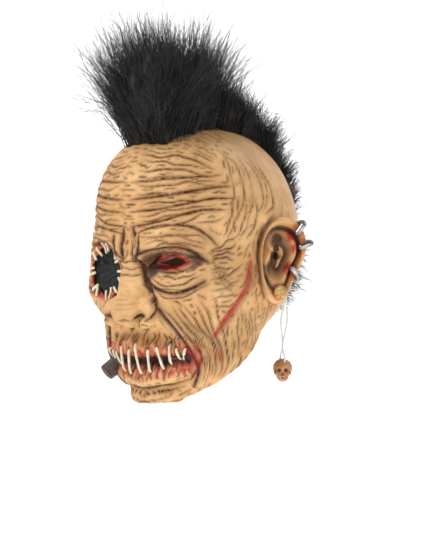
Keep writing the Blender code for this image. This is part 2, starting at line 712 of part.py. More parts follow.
def smooth_line(knots, count):
    """Points evenly spread along a smooth curve through the knots."""
    knots = np.asarray(knots, float)
    padded = np.vstack([2 * knots[0] - knots[1], knots, 2 * knots[-1] - knots[-2]])
    points = []
    for i in range(len(knots) - 1):
        a, b, c, d = padded[i:i + 4]
        for t in np.linspace(0, 1, 24, endpoint=False):
            points.append(0.5 * (2 * b + (c - a) * t + (2 * a - 5 * b + 4 * c - d) * t ** 2
                                 + (3 * b - a - 3 * c + d) * t ** 3))
    points.append(knots[-1])
    points = np.array(points)
    length = np.concatenate([[0], np.cumsum(np.linalg.norm(np.diff(points, axis=0), axis=1))])
    wanted = np.linspace(0, length[-1], count)
    return np.stack([np.interp(wanted, length, points[:, k]) for k in range(3)], axis=1)


# Fur: a strip over the crown with locks fused to it
FurRow = namedtuple("FurRow", "along length lean")
# Along the strip from the hairline to the nape: lock length as a share, and lean forward in degrees
FUR_ROWS = [FurRow(0.00, 0.80, 8), FurRow(0.12, 0.84, 4), FurRow(0.18, 0.80, 5), FurRow(0.25, 0.70, 12),
            FurRow(0.31, 0.60, 20), FurRow(0.38, 0.50, 30), FurRow(0.44, 0.42, 36), FurRow(0.51, 0.36, 36),
            FurRow(0.57, 0.33, 30), FurRow(0.64, 0.33, 22), FurRow(0.73, 0.33, 12), FurRow(0.83, 0.33, 5),
            FurRow(1.00, 0.30, -5)]
STRIP_FRONT_DEG = 52.0
STRIP_BACK_DEG = 206.0
STRIP_ROWS = 26
STRIP_COLUMNS = 7


def strip_direction(along, across):
    """The ray for a place on the strip: along from the hairline to the nape, across in metres from the middle."""
    rise = np.radians(STRIP_FRONT_DEG + (STRIP_BACK_DEG - STRIP_FRONT_DEG) * np.asarray(along, float))
    tilt = np.asarray(across, float) / (0.92 * HALF_HEIGHT)
    return np.stack([np.sin(tilt), -np.cos(rise) * np.cos(tilt), np.sin(rise) * np.cos(tilt)], axis=-1)


def strip_point(along, across, lift):
    rays = strip_direction(along, across)
    reach = cast(base_field, RAY_CENTRE, rays)
    return RAY_CENTRE + rays * (reach + lift)[:, None]


def fur_backing(parent):
    """The strip that the locks grow from, which lies just off the latex."""
    along = np.repeat(np.linspace(0, 1, STRIP_ROWS), STRIP_COLUMNS)
    across = np.tile(np.linspace(-0.5, 0.5, STRIP_COLUMNS) * FUR_STRIP_WIDTH, STRIP_ROWS)
    below = strip_point(along, across, np.full(len(along), 1.5 * SEAT_GAP))
    edge = 1 - (2 * across / FUR_STRIP_WIDTH) ** 2
    above = strip_point(along, across, 1.5 * SEAT_GAP + FUR_BACKING * (0.35 + 0.65 * edge))
    points = np.vstack([below, above])
    count, top = len(below), len(below)
    faces = [f[::-1] for f in grid_faces(STRIP_ROWS, STRIP_COLUMNS, 0, closed=False)]
    faces += grid_faces(STRIP_ROWS, STRIP_COLUMNS, top, closed=False)
    for i in range(STRIP_ROWS - 1):
        a, b = i * STRIP_COLUMNS, (i + 1) * STRIP_COLUMNS
        faces.append((a, b, b + top, a + top))
        a, b = a + STRIP_COLUMNS - 1, b + STRIP_COLUMNS - 1
        faces.append((b, a, a + top, b + top))
    for j in range(STRIP_COLUMNS - 1):
        faces.append((j + 1, j, j + top, j + 1 + top))
        a = count - STRIP_COLUMNS + j
        faces.append((a, a + 1, a + 1 + top, a + top))
    return new_object("mohawk", points, faces, FUR, parent)


def lock_solid(root, aim, length, width, bend, parent, sides=8, rings=5):
    """One tapered lock that swells a little above its root and ends in a blunt tip."""
    across, upward = frame_along(aim, up=(0.13, 0.99, 0.05))
    angles = np.arange(sides) / sides * 2 * math.pi
    points = [root - aim * 0.001]
    for i in range(rings):
        share = i / rings
        swell = (0.85 + 0.75 * share) * (1 - share ** 4)
        middle = root + aim * length * share + bend * length * share ** 2
        ring = np.outer(np.cos(angles), across) * 0.42 + np.outer(np.sin(angles), upward) * 0.60
        points.extend(middle + ring * width * swell)
    points.append(root + aim * length + bend * length)
    faces = [(0, 1 + (j + 1) % sides, 1 + j) for j in range(sides)]
    faces += grid_faces(rings, sides, 1)
    faces += fan_faces(1 + (rings - 1) * sides, sides, len(points) - 1)
    return new_object("lock", points, faces, None, parent)


def mohawk(bottom, parent):
    """The fur strip: a backing with rows of locks fused to it, three across and staggered."""
    made = fur_backing(parent)
    marks = [row.along for row in FUR_ROWS]
    span = math.radians(STRIP_BACK_DEG - STRIP_FRONT_DEG) * HALF_HEIGHT
    rows = max(6, round(span / (0.66 * LOCK_WIDTH)))
    for i in range(rows):
        along = 0.02 + 0.955 * i / (rows - 1)
        length = FUR_LENGTH * np.interp(along, marks, [row.length for row in FUR_ROWS])
        lean = math.radians(np.interp(along, marks, [row.lean for row in FUR_ROWS]))
        sides = (-0.27, 0.27) if i % 2 else (0.0,)
        for j, side in enumerate(sides):
            across = side * FUR_STRIP_WIDTH
            root = strip_point([along], [across], np.array([0.4 * FUR_BACKING]))[0]
            out = strip_direction([along], [across])[0]
            ahead = unit(strip_direction([along - 0.02], [0.0])[0] - strip_direction([along], [0.0])[0])
            aim = unit(math.cos(lean) * out + math.sin(lean) * ahead + np.array([0.28 * side, 0, 0]))
            stagger = 1.0 + 0.05 * math.cos(2.4 * i + 1.7 * j)
            bend = 0.06 * math.sin(1.9 * i + j) * ahead + np.array([0.22 * side, 0.0, 0.0])
            lock = lock_solid(root, aim, length * stagger, LOCK_WIDTH, bend, parent)
            boolean(made, lock, "UNION")
    keep_largest_body(made)
    decimate(made, FUR_TRIANGLES)
    boolean(made, head_solid(SEAT_GAP, 24, bottom, parent), "DIFFERENCE")
    keep_largest_body(made)
    return made


def gouged_eye_gauze(parent):
    """A black gauze patch that lies against the inside of the wall, wider than the gouged eye all round."""
    point, normal = face_place(GOUGED_EYE_PLACE)
    axis = level_axis(normal)
    across, upward = frame_along(axis)
    rings, spokes = 5, 20
    wide = np.array([GOUGED_EYE_WIDTH, GOUGED_EYE_HEIGHT]) / 2 + GAUZE_OVERLAP
    angles = np.arange(spokes) / spokes * 2 * math.pi
    layers = []
    for depth in (WALL + GAUZE_SEAT, WALL + GAUZE_SEAT + GAUZE_THICKNESS):
        targets = [point]
        for i in range(1, rings + 1):
            offset = np.outer(np.cos(angles) * wide[0], across) + np.outer(np.sin(angles) * wide[1], upward)
            targets.extend(point + offset * i / rings)
        rays = np.array([unit(t - RAY_CENTRE) for t in targets])
        reach = cast(head_field, RAY_CENTRE, rays, -depth)
        layers.append(RAY_CENTRE + rays * reach[:, None])
    count = len(layers[0])
    faces = [(0, 1 + (j + 1) % spokes, 1 + j) for j in range(spokes)] + grid_faces(rings, spokes, 1)
    faces += [tuple(count + v for v in f[::-1]) for f in faces]
    first = 1 + (rings - 1) * spokes
    for j in range(spokes):
        a, b = first + j, first + (j + 1) % spokes
        faces.append((a, b, count + b, count + a))
    return new_object("eye_gauze", np.vstack(layers), faces, GAUZE, parent)


def cigar(shell, parent):
    """A stub in a close hole through the lips, burnt and rounded at its outer end."""
    point, _ = face_place(CIGAR_PLACE)
    axis = unit(CIGAR_AIM)
    across, upward = frame_along(axis)
    radius = CIGAR_DIAMETER / 2
    outline = circle(radius + GAP, radius + GAP, 18)
    deep = CIGAR_OUT + CIGAR_IN
    boolean(shell, prism("cigar_hole", point, axis, outline, deep, deep, parent), "DIFFERENCE")
    profile = [(0.0, -CIGAR_IN), (0.94 * radius, -CIGAR_IN), (0.97 * radius, 0.0), (0.97 * radius, 0.7 * CIGAR_OUT),
               (0.90 * radius, 0.94 * CIGAR_OUT), (0.62 * radius, CIGAR_OUT), (0.0, 0.97 * CIGAR_OUT)]
    return turned("cigar_stub", point, axis, across, upward, profile, 18, CIGAR_BROWN, parent)


# The skull bead, sculpted as the head is
SkullBlob = namedtuple("SkullBlob", "x y z rx ry rz")
SKULL_BLOBS = [SkullBlob(0.0, 0.10, 0.18, 0.98, 1.0, 0.80), SkullBlob(0.0, -0.45, -0.50, 0.62, 0.50, 0.50),
               SkullBlob(0.62, -0.60, -0.22, 0.26, 0.26, 0.20), SkullBlob(-0.62, -0.60, -0.22, 0.26, 0.26, 0.20)]
SKULL_HOLLOWS = [SkullBlob(0.38, -1.05, 0.02, 0.27, 0.40, 0.22), SkullBlob(-0.38, -1.05, 0.02, 0.27, 0.40, 0.22),
                 SkullBlob(0.0, -1.05, -0.32, 0.13, 0.30, 0.14), SkullBlob(0.0, -1.00, -0.66, 0.36, 0.16, 0.05)]


def skull_field(points):
    scale = np.array([SKULL_WIDTH, SKULL_WIDTH, SKULL_HEIGHT]) / 2
    blend = 0.10 * SKULL_WIDTH
    field = None
    for blob in SKULL_BLOBS:
        distance = ellipsoid(points, np.array(blob[:3]) * scale, np.array(blob[3:]) * scale)
        field = distance if field is None else soft_union(field, distance, blend)
    for blob in SKULL_HOLLOWS:
        distance = ellipsoid(points, np.array(blob[:3]) * scale, np.array(blob[3:]) * scale)
        field = soft_cut(field, distance, blend / 2)
    return field


def skull_bead(parent):
    """The bead with a cross hole under its top that the cord runs through, turned to face the front left."""
    _, middle, side, _, _ = pendant_places()
    columns, rows = 22, 13
    turns = np.arange(columns) / columns * 2 * math.pi
    rises = np.radians(np.linspace(-90, 90, rows + 2)[1:-1])
    rays = direction(*np.meshgrid(turns, rises)).reshape(-1, 3)
    rays = np.vstack([rays, [0, 0, -1.0], [0, 0, 1.0]])
    reach = cast(skull_field, np.zeros(3), rays, start=1.2 * SKULL_WIDTH)
    points = rays * reach[:, None]
    turn = math.radians(SKULL_TURN_DEG)
    spin = np.array([[math.cos(turn), -math.sin(turn), 0], [math.sin(turn), math.cos(turn), 0], [0, 0, 1]])
    centre = middle - np.array([0, 0, SKULL_HOLE_RISE * SKULL_HEIGHT])
    points = centre + points @ spin.T
    faces = grid_faces(rows, columns)
    faces += [f[::-1] for f in fan_faces(0, columns, rows * columns)]
    faces += fan_faces((rows - 1) * columns, columns, rows * columns + 1)
    made = new_object("skull_bead", points, faces, BONE, parent)
    radius = CORD_DIAMETER / 2 + 2 * GAP
    hole = prism("bead_hole", middle, side, circle(radius, radius, 12), SKULL_WIDTH, SKULL_WIDTH, parent)
    boolean(made, hole, "DIFFERENCE")
    return made


SKULL_TURN_DEG = 38.0
SKULL_HOLE_RISE = 0.38


def pendant_cord(parent):
    """A white cord from the back of the lobe, down through the bead's hole and back up to the lobe."""
    ends, low, side, forward, outward = pendant_places()
    up = np.array([0.0, 0.0, 1.0])
    half = 0.70 * SKULL_WIDTH / 2
    strands = []
    for end, sign in zip(ends, (1, -1)):
        start = end - outward * GAP / 2
        cross = forward * CORD_SPREAD * sign
        strands.append([start, start - outward * 0.8 * CORD_BEHIND, start - outward * CORD_BEHIND - up * 0.012
                        - forward * 0.0025, low + up * 0.55 * CORD_DROP - cross - forward * 0.0015,
                        low + up * 0.22 * CORD_DROP + 0.3 * cross + side * sign * 0.45 * half,
                        low + up * 0.06 * CORD_DROP + side * sign * (half + CORD_DIAMETER) + 0.2 * cross,
                        low + side * sign * half, low + side * sign * half * 0.4])
    knots = strands[0] + strands[1][::-1]
    return tube("pendant_cord", smooth_line(knots, 64), CORD_DIAMETER / 2, CORD_WHITE, parent)


def clear_scene():
    for old in list(bpy.data.objects):
        bpy.data.objects.remove(old)


def main():
    clear_scene()
    crown_ray = np.array([[0.0, 0.0, 1.0]])
    crown = RAY_CENTRE + crown_ray[0] * cast(head_field, RAY_CENTRE, crown_ray, -WALL)[0]
    frame = bpy.data.objects.new("head_seat", None)
    frame.location = tuple(-crown)
    bpy.context.scene.collection.objects.link(frame)
    shell, bottom = head_shell(frame)
    for sign in (1, -1):
        ear = ear_solid(sign, frame)
        boolean(ear, head_solid(-WALL / 2, 20, bottom, frame), "DIFFERENCE")
        boolean(shell, ear, "UNION")
    cut_openings(shell, frame)
    lobe_plug(shell, frame)
    cigar(shell, frame)
    gouged_eye_gauze(frame)
    for number, angle_deg in enumerate(CUFF_ANGLES_DEG, 1):
        ear_cuff(number, angle_deg, frame)
    pendant_cord(frame)
    skull_bead(frame)
    mohawk(bottom, frame)
    shell.data.shade_smooth()


main()
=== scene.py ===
"""The looks of an overhead latex horror mask with a fur mohawk, pierced ears and a stitched face.

Metres. The head is sculpted in the same way as its solids: a distance field of soft blobs and folds, here
with finer folds, creases and colour. Everything is moved by CROWN, so that the origin is inside the crown.
"""
import math
from collections import namedtuple
from functools import lru_cache

import bmesh
import bpy
import numpy as np
from mathutils import Matrix, Vector
from mathutils.bvhtree import BVHTree
from mathutils.kdtree import KDTree


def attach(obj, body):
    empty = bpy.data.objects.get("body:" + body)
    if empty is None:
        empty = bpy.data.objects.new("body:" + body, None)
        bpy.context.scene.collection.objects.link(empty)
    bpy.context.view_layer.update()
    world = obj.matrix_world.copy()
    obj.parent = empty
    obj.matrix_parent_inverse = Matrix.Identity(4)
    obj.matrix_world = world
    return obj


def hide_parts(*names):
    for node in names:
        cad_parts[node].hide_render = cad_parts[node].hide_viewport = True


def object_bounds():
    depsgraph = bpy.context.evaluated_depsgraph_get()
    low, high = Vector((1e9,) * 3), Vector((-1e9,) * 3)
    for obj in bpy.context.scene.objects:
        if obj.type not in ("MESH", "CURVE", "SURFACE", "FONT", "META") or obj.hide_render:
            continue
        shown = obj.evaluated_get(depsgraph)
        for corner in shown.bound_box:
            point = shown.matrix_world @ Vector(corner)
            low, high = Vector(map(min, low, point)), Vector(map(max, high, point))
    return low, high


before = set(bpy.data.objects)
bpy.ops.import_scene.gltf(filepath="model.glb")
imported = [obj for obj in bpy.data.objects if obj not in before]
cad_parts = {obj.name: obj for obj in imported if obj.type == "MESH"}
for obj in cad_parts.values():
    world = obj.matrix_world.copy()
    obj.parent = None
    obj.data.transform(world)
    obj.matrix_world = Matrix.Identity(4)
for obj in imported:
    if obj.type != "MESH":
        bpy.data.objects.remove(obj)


def plain_box():
    """The object's box as plain lists of numbers."""
    return [[round(float(v), 6) for v in corner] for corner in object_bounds()]


CAD_BOX = plain_box()


# Head: the outside of the latex without the ears, and the wall
HEAD_WIDTH = 0.172
HEAD_DEPTH = 0.200
HEAD_HEIGHT = 0.262
WALL = 0.0022
GAP = 0.0003
SEAT_GAP = 0.0008

# Openings of the face
EYE_SLIT_WIDTH = 0.031
EYE_SLIT_HEIGHT = 0.0085
GOUGED_EYE_WIDTH = 0.041
GOUGED_EYE_HEIGHT = 0.045
NOSTRIL_DIAMETER = 0.0070
GAUZE_THICKNESS = 0.0010
GAUZE_SEAT = 0.0012
GAUZE_OVERLAP = 0.0045

# Ears
EAR_HEIGHT = 0.084
EAR_WIDTH = 0.047
EAR_SPREAD_DEG = 34.0
EAR_LEAN_DEG = 8.0
EAR_RELIEF = 0.0095
EAR_THICKNESS = 0.0065
EAR_PROUD = 0.0050
EAR_CANAL_DIAMETER = 0.0085

# Jewellery on the left ear
CUFF_WIRE = 0.0054
CUFF_LEG = 0.0105
CUFF_ANGLES_DEG = [60.0, 29.0, -40.0]
PLUG_DIAMETER = 0.0125
PLUG_HEAD = 0.0040
PLUG_POST_DIAMETER = 0.0050
CORD_DIAMETER = 0.0017
CORD_DROP = 0.068
CORD_SPREAD = 0.0030
CORD_BEHIND = 0.0045
SKULL_WIDTH = 0.0185
SKULL_HEIGHT = 0.0215
SKULL_TURN_DEG = 38.0
SKULL_HOLE_RISE = 0.38

# Cigar in the right corner of the mouth
CIGAR_DIAMETER = 0.0170
CIGAR_OUT = 0.019
CIGAR_IN = 0.012

# Fur mohawk
FUR_STRIP_WIDTH = 0.046
FUR_LENGTH = 0.125

HALF_WIDTH = HEAD_WIDTH / 2
HALF_DEPTH = HEAD_DEPTH / 2
HALF_HEIGHT = HEAD_HEIGHT / 2
HALVES = np.array([HALF_WIDTH, HALF_DEPTH, HALF_HEIGHT])
UP = np.array([0.0, 0.0, 1.0])
BOTH, MIDDLE, LEFT, RIGHT = "both", "middle", "left", "right"

# Blobs of the head. Centre and radii are shares of the half width, half depth and half height, and blend
# is in metres.
Blob = namedtuple("Blob", "name sides x y z rx ry rz blend")
BLOBS = [
    Blob("cranium", MIDDLE, 0.00, -0.07, 0.23, 0.94, 0.90, 0.745, 0.0),
    Blob("crown", MIDDLE, 0.00, 0.00, 0.37, 0.88, 0.82, 0.59, 0.016),
    Blob("forehead", MIDDLE, 0.00, -0.40, 0.40, 0.97, 0.74, 0.59, 0.016),
    Blob("temple", BOTH, 0.46, 0.00, 0.08, 0.50, 0.60, 0.55, 0.020),
    Blob("mid face", MIDDLE, 0.00, -0.46, -0.12, 0.85, 0.58, 0.60, 0.020),
    Blob("jaw", MIDDLE, 0.00, -0.28, -0.60, 0.80, 0.62, 0.44, 0.022),
    Blob("muzzle", MIDDLE, 0.00, -0.49, -0.62, 0.57, 0.48, 0.28, 0.014),
    Blob("chin", MIDDLE, 0.00, -0.63, -0.85, 0.34, 0.26, 0.17, 0.014),
    Blob("cheekbone", BOTH, 0.59, -0.72, -0.17, 0.31, 0.27, 0.22, 0.014),
    Blob("outer orbit", RIGHT, 0.63, -0.83, 0.07, 0.16, 0.145, 0.23, 0.012),
    Blob("nose bridge", MIDDLE, 0.00, -1.01, -0.06, 0.13, 0.12, 0.20, 0.008),
    Blob("nose ridge", MIDDLE, 0.00, -1.05, -0.22, 0.16, 0.15, 0.18, 0.009),
    Blob("nose tip", MIDDLE, 0.00, -1.10, -0.320, 0.19, 0.150, 0.115, 0.007),
    Blob("nose wing", BOTH, 0.215, -0.96, -0.335, 0.125, 0.15, 0.090, 0.005),
]

# Hollows are taken away from the blobs in the same way.
HOLLOWS = [
    Blob("eye socket", LEFT, 0.44, -1.10, 0.02, 0.33, 0.22, 0.100, 0.010),
    Blob("gouged socket", RIGHT, 0.40, -1.22, -0.04, 0.22, 0.20, 0.16, 0.010),
    Blob("temple dip", BOTH, 1.12, -0.55, 0.10, 0.24, 0.42, 0.22, 0.020),
    Blob("cheek hollow", BOTH, 1.02, -0.84, -0.50, 0.26, 0.36, 0.24, 0.022),
    Blob("nostril dip", BOTH, 0.110, -1.10, -0.425, 0.085, 0.10, 0.045, 0.003),
]

# Folds follow the skin through their points: x and z are shares of the half width and half height, radius
# is a share of the half width, lift is how far the fold's middle stands out of the skin, as a share of its
# radius.
Fold = namedtuple("Fold", "name sides radius lift blend points")
FOLDS = [
    Fold("brow", LEFT, 0.135, -0.10, 0.007, [(0.14, 0.09), (0.30, 0.19), (0.50, 0.215), (0.68, 0.13)]),
    Fold("brow over the gouged eye", RIGHT, 0.110, -0.15, 0.007, [(0.12, 0.14), (0.30, 0.22), (0.55, 0.21)]),
    Fold("frown", BOTH, 0.060, -0.25, 0.004, [(0.09, 0.04), (0.10, 0.16)]),
    Fold("upper lid", LEFT, 0.050, 0.10, 0.004, [(0.20, -0.02), (0.33, 0.055), (0.50, 0.075), (0.68, 0.02)]),
    Fold("lower lid", LEFT, 0.050, 0.00, 0.004,
         [(0.22, -0.035), (0.36, -0.065), (0.54, -0.045), (0.67, 0.01)]),
    Fold("eye bag", LEFT, 0.075, -0.15, 0.006,
         [(0.28, -0.12), (0.42, -0.175), (0.58, -0.155), (0.70, -0.08)]),
    Fold("cheek pouch", BOTH, 0.105, -0.40, 0.009,
         [(0.30, -0.30), (0.46, -0.42), (0.58, -0.58), (0.58, -0.72)]),
    Fold("upper lip", MIDDLE, 0.080, -0.10, 0.005,
         [(-0.50, -0.63), (-0.25, -0.575), (0.0, -0.565), (0.25, -0.575), (0.50, -0.63)]),
    Fold("lower lip", MIDDLE, 0.085, -0.10, 0.005,
         [(-0.47, -0.71), (-0.24, -0.775), (0.0, -0.79), (0.24, -0.775), (0.47, -0.71)]),
    Fold("chin fold", MIDDLE, 0.100, -0.10, 0.007, [(-0.20, -0.92), (0.0, -0.945), (0.20, -0.92)]),
]
MOUTH_LINE = Fold("mouth", MIDDLE, 0.060, 0.0, 0.003,
                  [(-0.52, -0.65), (-0.36, -0.665), (0.0, -0.685), (0.36, -0.665), (0.52, -0.65)])

# Places on the face and the head, as shares of the half sizes
RAY_CENTRE = np.array([0.0, -0.12, 0.10]) * HALVES
EYE_SLIT_PLACE = (0.455, 0.015)
GOUGED_EYE_PLACE = (-0.440, -0.045)
NOSTRIL_PLACE = (0.105, -0.405)
CIGAR_PLACE = (-0.44, -0.68)
CIGAR_AIM = (-0.36, -0.62, -0.55)
EAR_PLACE_Y = -0.03
EAR_PLACE_Z = 0.065

# Lower rim from under the chin, up the jaw to behind the ear and level round the nape, as shares
RimPoint = namedtuple("RimPoint", "y z")
RIM = [RimPoint(-0.90, -0.965), RimPoint(-0.70, -0.960), RimPoint(-0.60, -0.89), RimPoint(-0.44, -0.77),
       RimPoint(-0.22, -0.63), RimPoint(0.00, -0.51), RimPoint(0.17, -0.41), RimPoint(0.80, -0.40)]


# The distance field
def soft_union(a, b, blend):
    """The nearer of two distances, rounded where they are within the blend of each other."""
    if blend <= 0:
        return np.minimum(a, b)
    share = np.clip(0.5 + 0.5 * (b - a) / blend, 0, 1)
    return b + (a - b) * share - blend * share * (1 - share)


def soft_cut(a, b, blend):
    """Distance a with the shape of distance b taken away."""
    return -soft_union(-a, b, blend)


def ellipsoid(points, centre, radii):
    """Close to the distance to an ellipsoid's surface, below zero inside it."""
    offset = (points - centre) / radii
    near = np.linalg.norm(offset, axis=1)
    slope = np.linalg.norm(offset / radii, axis=1)
    return near * (near - 1) / np.maximum(slope, 1e-9)


def chain(points, line, radius):
    """Distance to a round-ended tube through the line's points, tapered to 0.6 of its radius."""
    best = None
    last = len(line) - 1
    for i in range(last):
        start, along = line[i], line[i + 1] - line[i]
        t = np.clip((points - start) @ along / (along @ along), 0, 1)
        share = (i + t) / last
        thick = radius * (0.6 + 0.4 * np.sin(math.pi * share) ** 0.5)
        distance = np.linalg.norm(points - start - t[:, None] * along, axis=1) - thick
        best = distance if best is None else np.minimum(best, distance)
    return best


def mirrored_sides(sides):
    """The signs of x at which a shape stands."""
    return {BOTH: (1, -1), MIDDLE: (1,), LEFT: (1,), RIGHT: (-1,)}[sides]


def blob_distance(points, blob, sign):
    centre = np.array([sign * blob.x, blob.y, blob.z]) * HALVES
    return ellipsoid(points, centre, np.array([blob.rx, blob.ry, blob.rz]) * HALVES)


def base_field(points):
    """Distance to the head before its folds."""
    field = None
    for blob in BLOBS:
        for sign in mirrored_sides(blob.sides):
            distance = blob_distance(points, blob, sign)
            field = distance if field is None else soft_union(field, distance, blob.blend)
    for blob in HOLLOWS:
        for sign in mirrored_sides(blob.sides):
            field = soft_cut(field, blob_distance(points, blob, sign), blob.blend)
    return field


def cast(field, centre, directions, level=0.0, start=2.6 * HALF_WIDTH, steps=44):
    """How far along each ray the outermost point lies where the field has that level."""
    reach = np.full(len(directions), start)
    for _ in range(steps):
        reach -= 0.85 * (field(centre + directions * reach[:, None]) - level)
    return reach


def front_skin(field, x, z):
    """The point of the face at x and z, seen from the front."""
    centre = np.array([x, 0.0, z])
    forward = np.array([[0.0, -1.0, 0.0]])
    return centre + forward[0] * cast(field, centre, forward)[0]


def slope_of(field, point, step=0.0008):
    """The outward normal of the field at a point."""
    offsets = np.eye(3) * step
    ends = np.vstack([point + offsets, point - offsets])
    values = field(ends)
    slope = values[:3] - values[3:]
    return slope / np.linalg.norm(slope)


def fold_lines(fold):
    """The fold's line in space, once for each side that it is on."""
    radius = fold.radius * HALF_WIDTH
    lines = []
    for sign in mirrored_sides(fold.sides):
        line = []
        for x, z in fold.points:
            point = front_skin(base_field, sign * x * HALF_WIDTH, z * HALF_HEIGHT)
            line.append(point + fold.lift * radius * slope_of(base_field, point))
        lines.append(np.array(line))
    return lines


# Finer forms of the face, which only the dressed head has
DETAIL_FOLDS = [
    Fold("brow ridge", LEFT, 0.110, 0.15, 0.007, [(0.12, 0.11), (0.28, 0.17), (0.48, 0.195), (0.66, 0.14)]),
    Fold("brow knot", BOTH, 0.070, 0.15, 0.005, [(0.14, 0.05), (0.16, 0.13)]),
    Fold("bag", LEFT, 0.060, 0.15, 0.005, [(0.30, -0.11), (0.42, -0.145), (0.56, -0.13), (0.68, -0.07)]),
    Fold("nose fold ridge", BOTH, 0.080, 0.05, 0.006,
         [(0.30, -0.22), (0.40, -0.34), (0.52, -0.48), (0.60, -0.62)]),
    Fold("wing", BOTH, 0.075, 0.25, 0.003, [(0.20, -0.27), (0.275, -0.31), (0.27, -0.37), (0.20, -0.40)]),
    Fold("mouth corner pouch", BOTH, 0.080, 0.00, 0.006, [(0.56, -0.58), (0.58, -0.70), (0.50, -0.82)]),
]

# Lines of the folds with their radius and blend
FOLD_CHAINS = [(line, fold.radius * HALF_WIDTH, fold.blend)
               for fold in FOLDS + DETAIL_FOLDS
               for line in fold_lines(fold)]
MOUTH_CHAIN = fold_lines(MOUTH_LINE)[0]


def head_field(points):
    """Distance to the sculpted head, below zero inside it."""
    field = base_field(points)
    for line, radius, blend in FOLD_CHAINS:
        field = soft_union(field, chain(points, line, radius), blend)
    mouth = chain(points, MOUTH_CHAIN, MOUTH_LINE.radius * HALF_WIDTH)
    field = soft_cut(field, mouth, MOUTH_LINE.blend)
    return field


# Shared geometry helpers
def unit(vector):
    vector = np.asarray(vector, float)
    return vector / np.linalg.norm(vector)


def smooth_step(value):
    value = np.clip(value, 0, 1)
    return value * value * (3 - 2 * value)


def direction(turn, rise):
    """Unit vectors for turns from the face towards the left ear, and rises above the level."""
    return np.stack([np.sin(turn) * np.cos(rise), -np.cos(turn) * np.cos(rise), np.sin(rise)], axis=-1)


def rim_height(points):
    """How far each point lies above the lower rim."""
    height = np.interp(points[:, 1] / HALF_DEPTH, [p.y for p in RIM], [p.z for p in RIM])
    return points[:, 2] - height * HALF_HEIGHT


def rim_rises(turns):
    """The rise of the lower rim for each turn round the head, by halving."""
    low = np.full(len(turns), math.radians(-80))
    high = np.full(len(turns), math.radians(10))
    for _ in range(14):
        middle = (low + high) / 2
        rays = direction(turns, middle)
        reach = cast(head_field, RAY_CENTRE, rays, steps=26)
        above = rim_height(RAY_CENTRE + rays * reach[:, None]) > 0
        high = np.where(above, middle, high)
        low = np.where(above, low, middle)
    return (low + high) / 2


def grid_faces(rows, columns, first=0, closed=True):
    """Quads of a grid whose rows follow each other, closed round each row or not."""
    faces = []
    for i in range(rows - 1):
        for j in range(columns if closed else columns - 1):
            k = (j + 1) % columns
            a, b = first + i * columns, first + (i + 1) * columns
            faces.append((a + j, a + k, b + k, b + j))
    return faces


def fan_faces(ring_first, columns, tip):
    return [(ring_first + j, ring_first + (j + 1) % columns, tip) for j in range(columns)]


def spindle_faces(rings, columns):
    """Faces of a closed form with a first point, rings and a last point."""
    faces = [(0, 1 + (j + 1) % columns, 1 + j) for j in range(columns)]
    faces += grid_faces(rings, columns, 1)
    return faces + fan_faces(1 + (rings - 1) * columns, columns, 1 + rings * columns)


def circle_turns(count):
    """Angles spread evenly over a full turn."""
    return np.arange(count) / count * 2 * math.pi


# The ears: a relief over a plate, in polar rings round the bowl
EarPoint = namedtuple("EarPoint", "angle_deg reach")

# The outline: reach from the bowl's middle as a share of the ear's height, for angles from the back upwards
EAR_OUTLINE = [EarPoint(0, 0.30), EarPoint(19, 0.34), EarPoint(41, 0.39), EarPoint(63, 0.43),
               EarPoint(85, 0.43), EarPoint(107, 0.42), EarPoint(125, 0.36), EarPoint(146, 0.28),
               EarPoint(180, 0.24), EarPoint(215, 0.26), EarPoint(240, 0.34), EarPoint(262, 0.48),
               EarPoint(275, 0.58), EarPoint(287, 0.50), EarPoint(297, 0.40), EarPoint(310, 0.32),
               EarPoint(335, 0.28)]


def ear_reach(angle):
    """How far the ear's outline lies from its middle, in a smooth closed curve through the table."""
    degrees = np.degrees(angle) % 360
    marks = np.array([p.angle_deg for p in EAR_OUTLINE] + [360], float)
    reaches = np.array([p.reach for p in EAR_OUTLINE] + [EAR_OUTLINE[0].reach])
    total = 0
    for shift in (-12, -6, 0, 6, 12):
        total = total + np.interp((degrees + shift) % 360, marks, reaches)
    return total / 5 * EAR_HEIGHT


@lru_cache
def ear_axes(sign):
    """The ear's middle and its axes: towards the back of the head, up the ear, and out of its face."""
    spread, lean = math.radians(EAR_SPREAD_DEG), math.radians(EAR_LEAN_DEG)
    back = np.array([sign * math.sin(spread), math.cos(spread), 0.0])
    up = np.array([0.0, 0.0, 1.0])
    backward = math.cos(lean) * back - math.sin(lean) * up
    upward = math.cos(lean) * up + math.sin(lean) * back
    outward = np.cross(backward, upward) * sign
    side = np.array([[sign, 0.0, 0.0]])
    root = np.array([0.0, EAR_PLACE_Y * HALF_DEPTH, EAR_PLACE_Z * HALF_HEIGHT])
    root = root + side[0] * cast(head_field, root, side)[0]
    middle = root + outward * EAR_PROUD
    return middle, backward * (EAR_WIDTH / (0.58 * EAR_HEIGHT)), upward, outward


def ear_point(sign, angle, ring, behind=False):
    """A point on the ear's front or back face."""
    middle, backward, upward, outward = ear_axes(sign)
    reach = ear_reach(np.asarray(angle)) * ring
    plate = middle + np.outer(reach * np.cos(angle), backward) + np.outer(reach * np.sin(angle), upward)
    if behind:
        height = -EAR_THICKNESS * (1 - np.asarray(ring) ** 4) ** 0.5
    else:
        height = EAR_RELIEF * ear_relief(angle, ring) * (1 - np.asarray(ring) ** 12)
    return plate + np.outer(height, outward)


def frame_along(axis):
    """Two directions across an axis, the second one as near to up as it can be."""
    axis = unit(axis)
    across = unit(np.cross(UP, axis))
    return across, np.cross(axis, across)


def circle(radius_across, radius_up, count=16):
    angles = circle_turns(count)
    return [(radius_across * math.cos(a), radius_up * math.sin(a)) for a in angles]


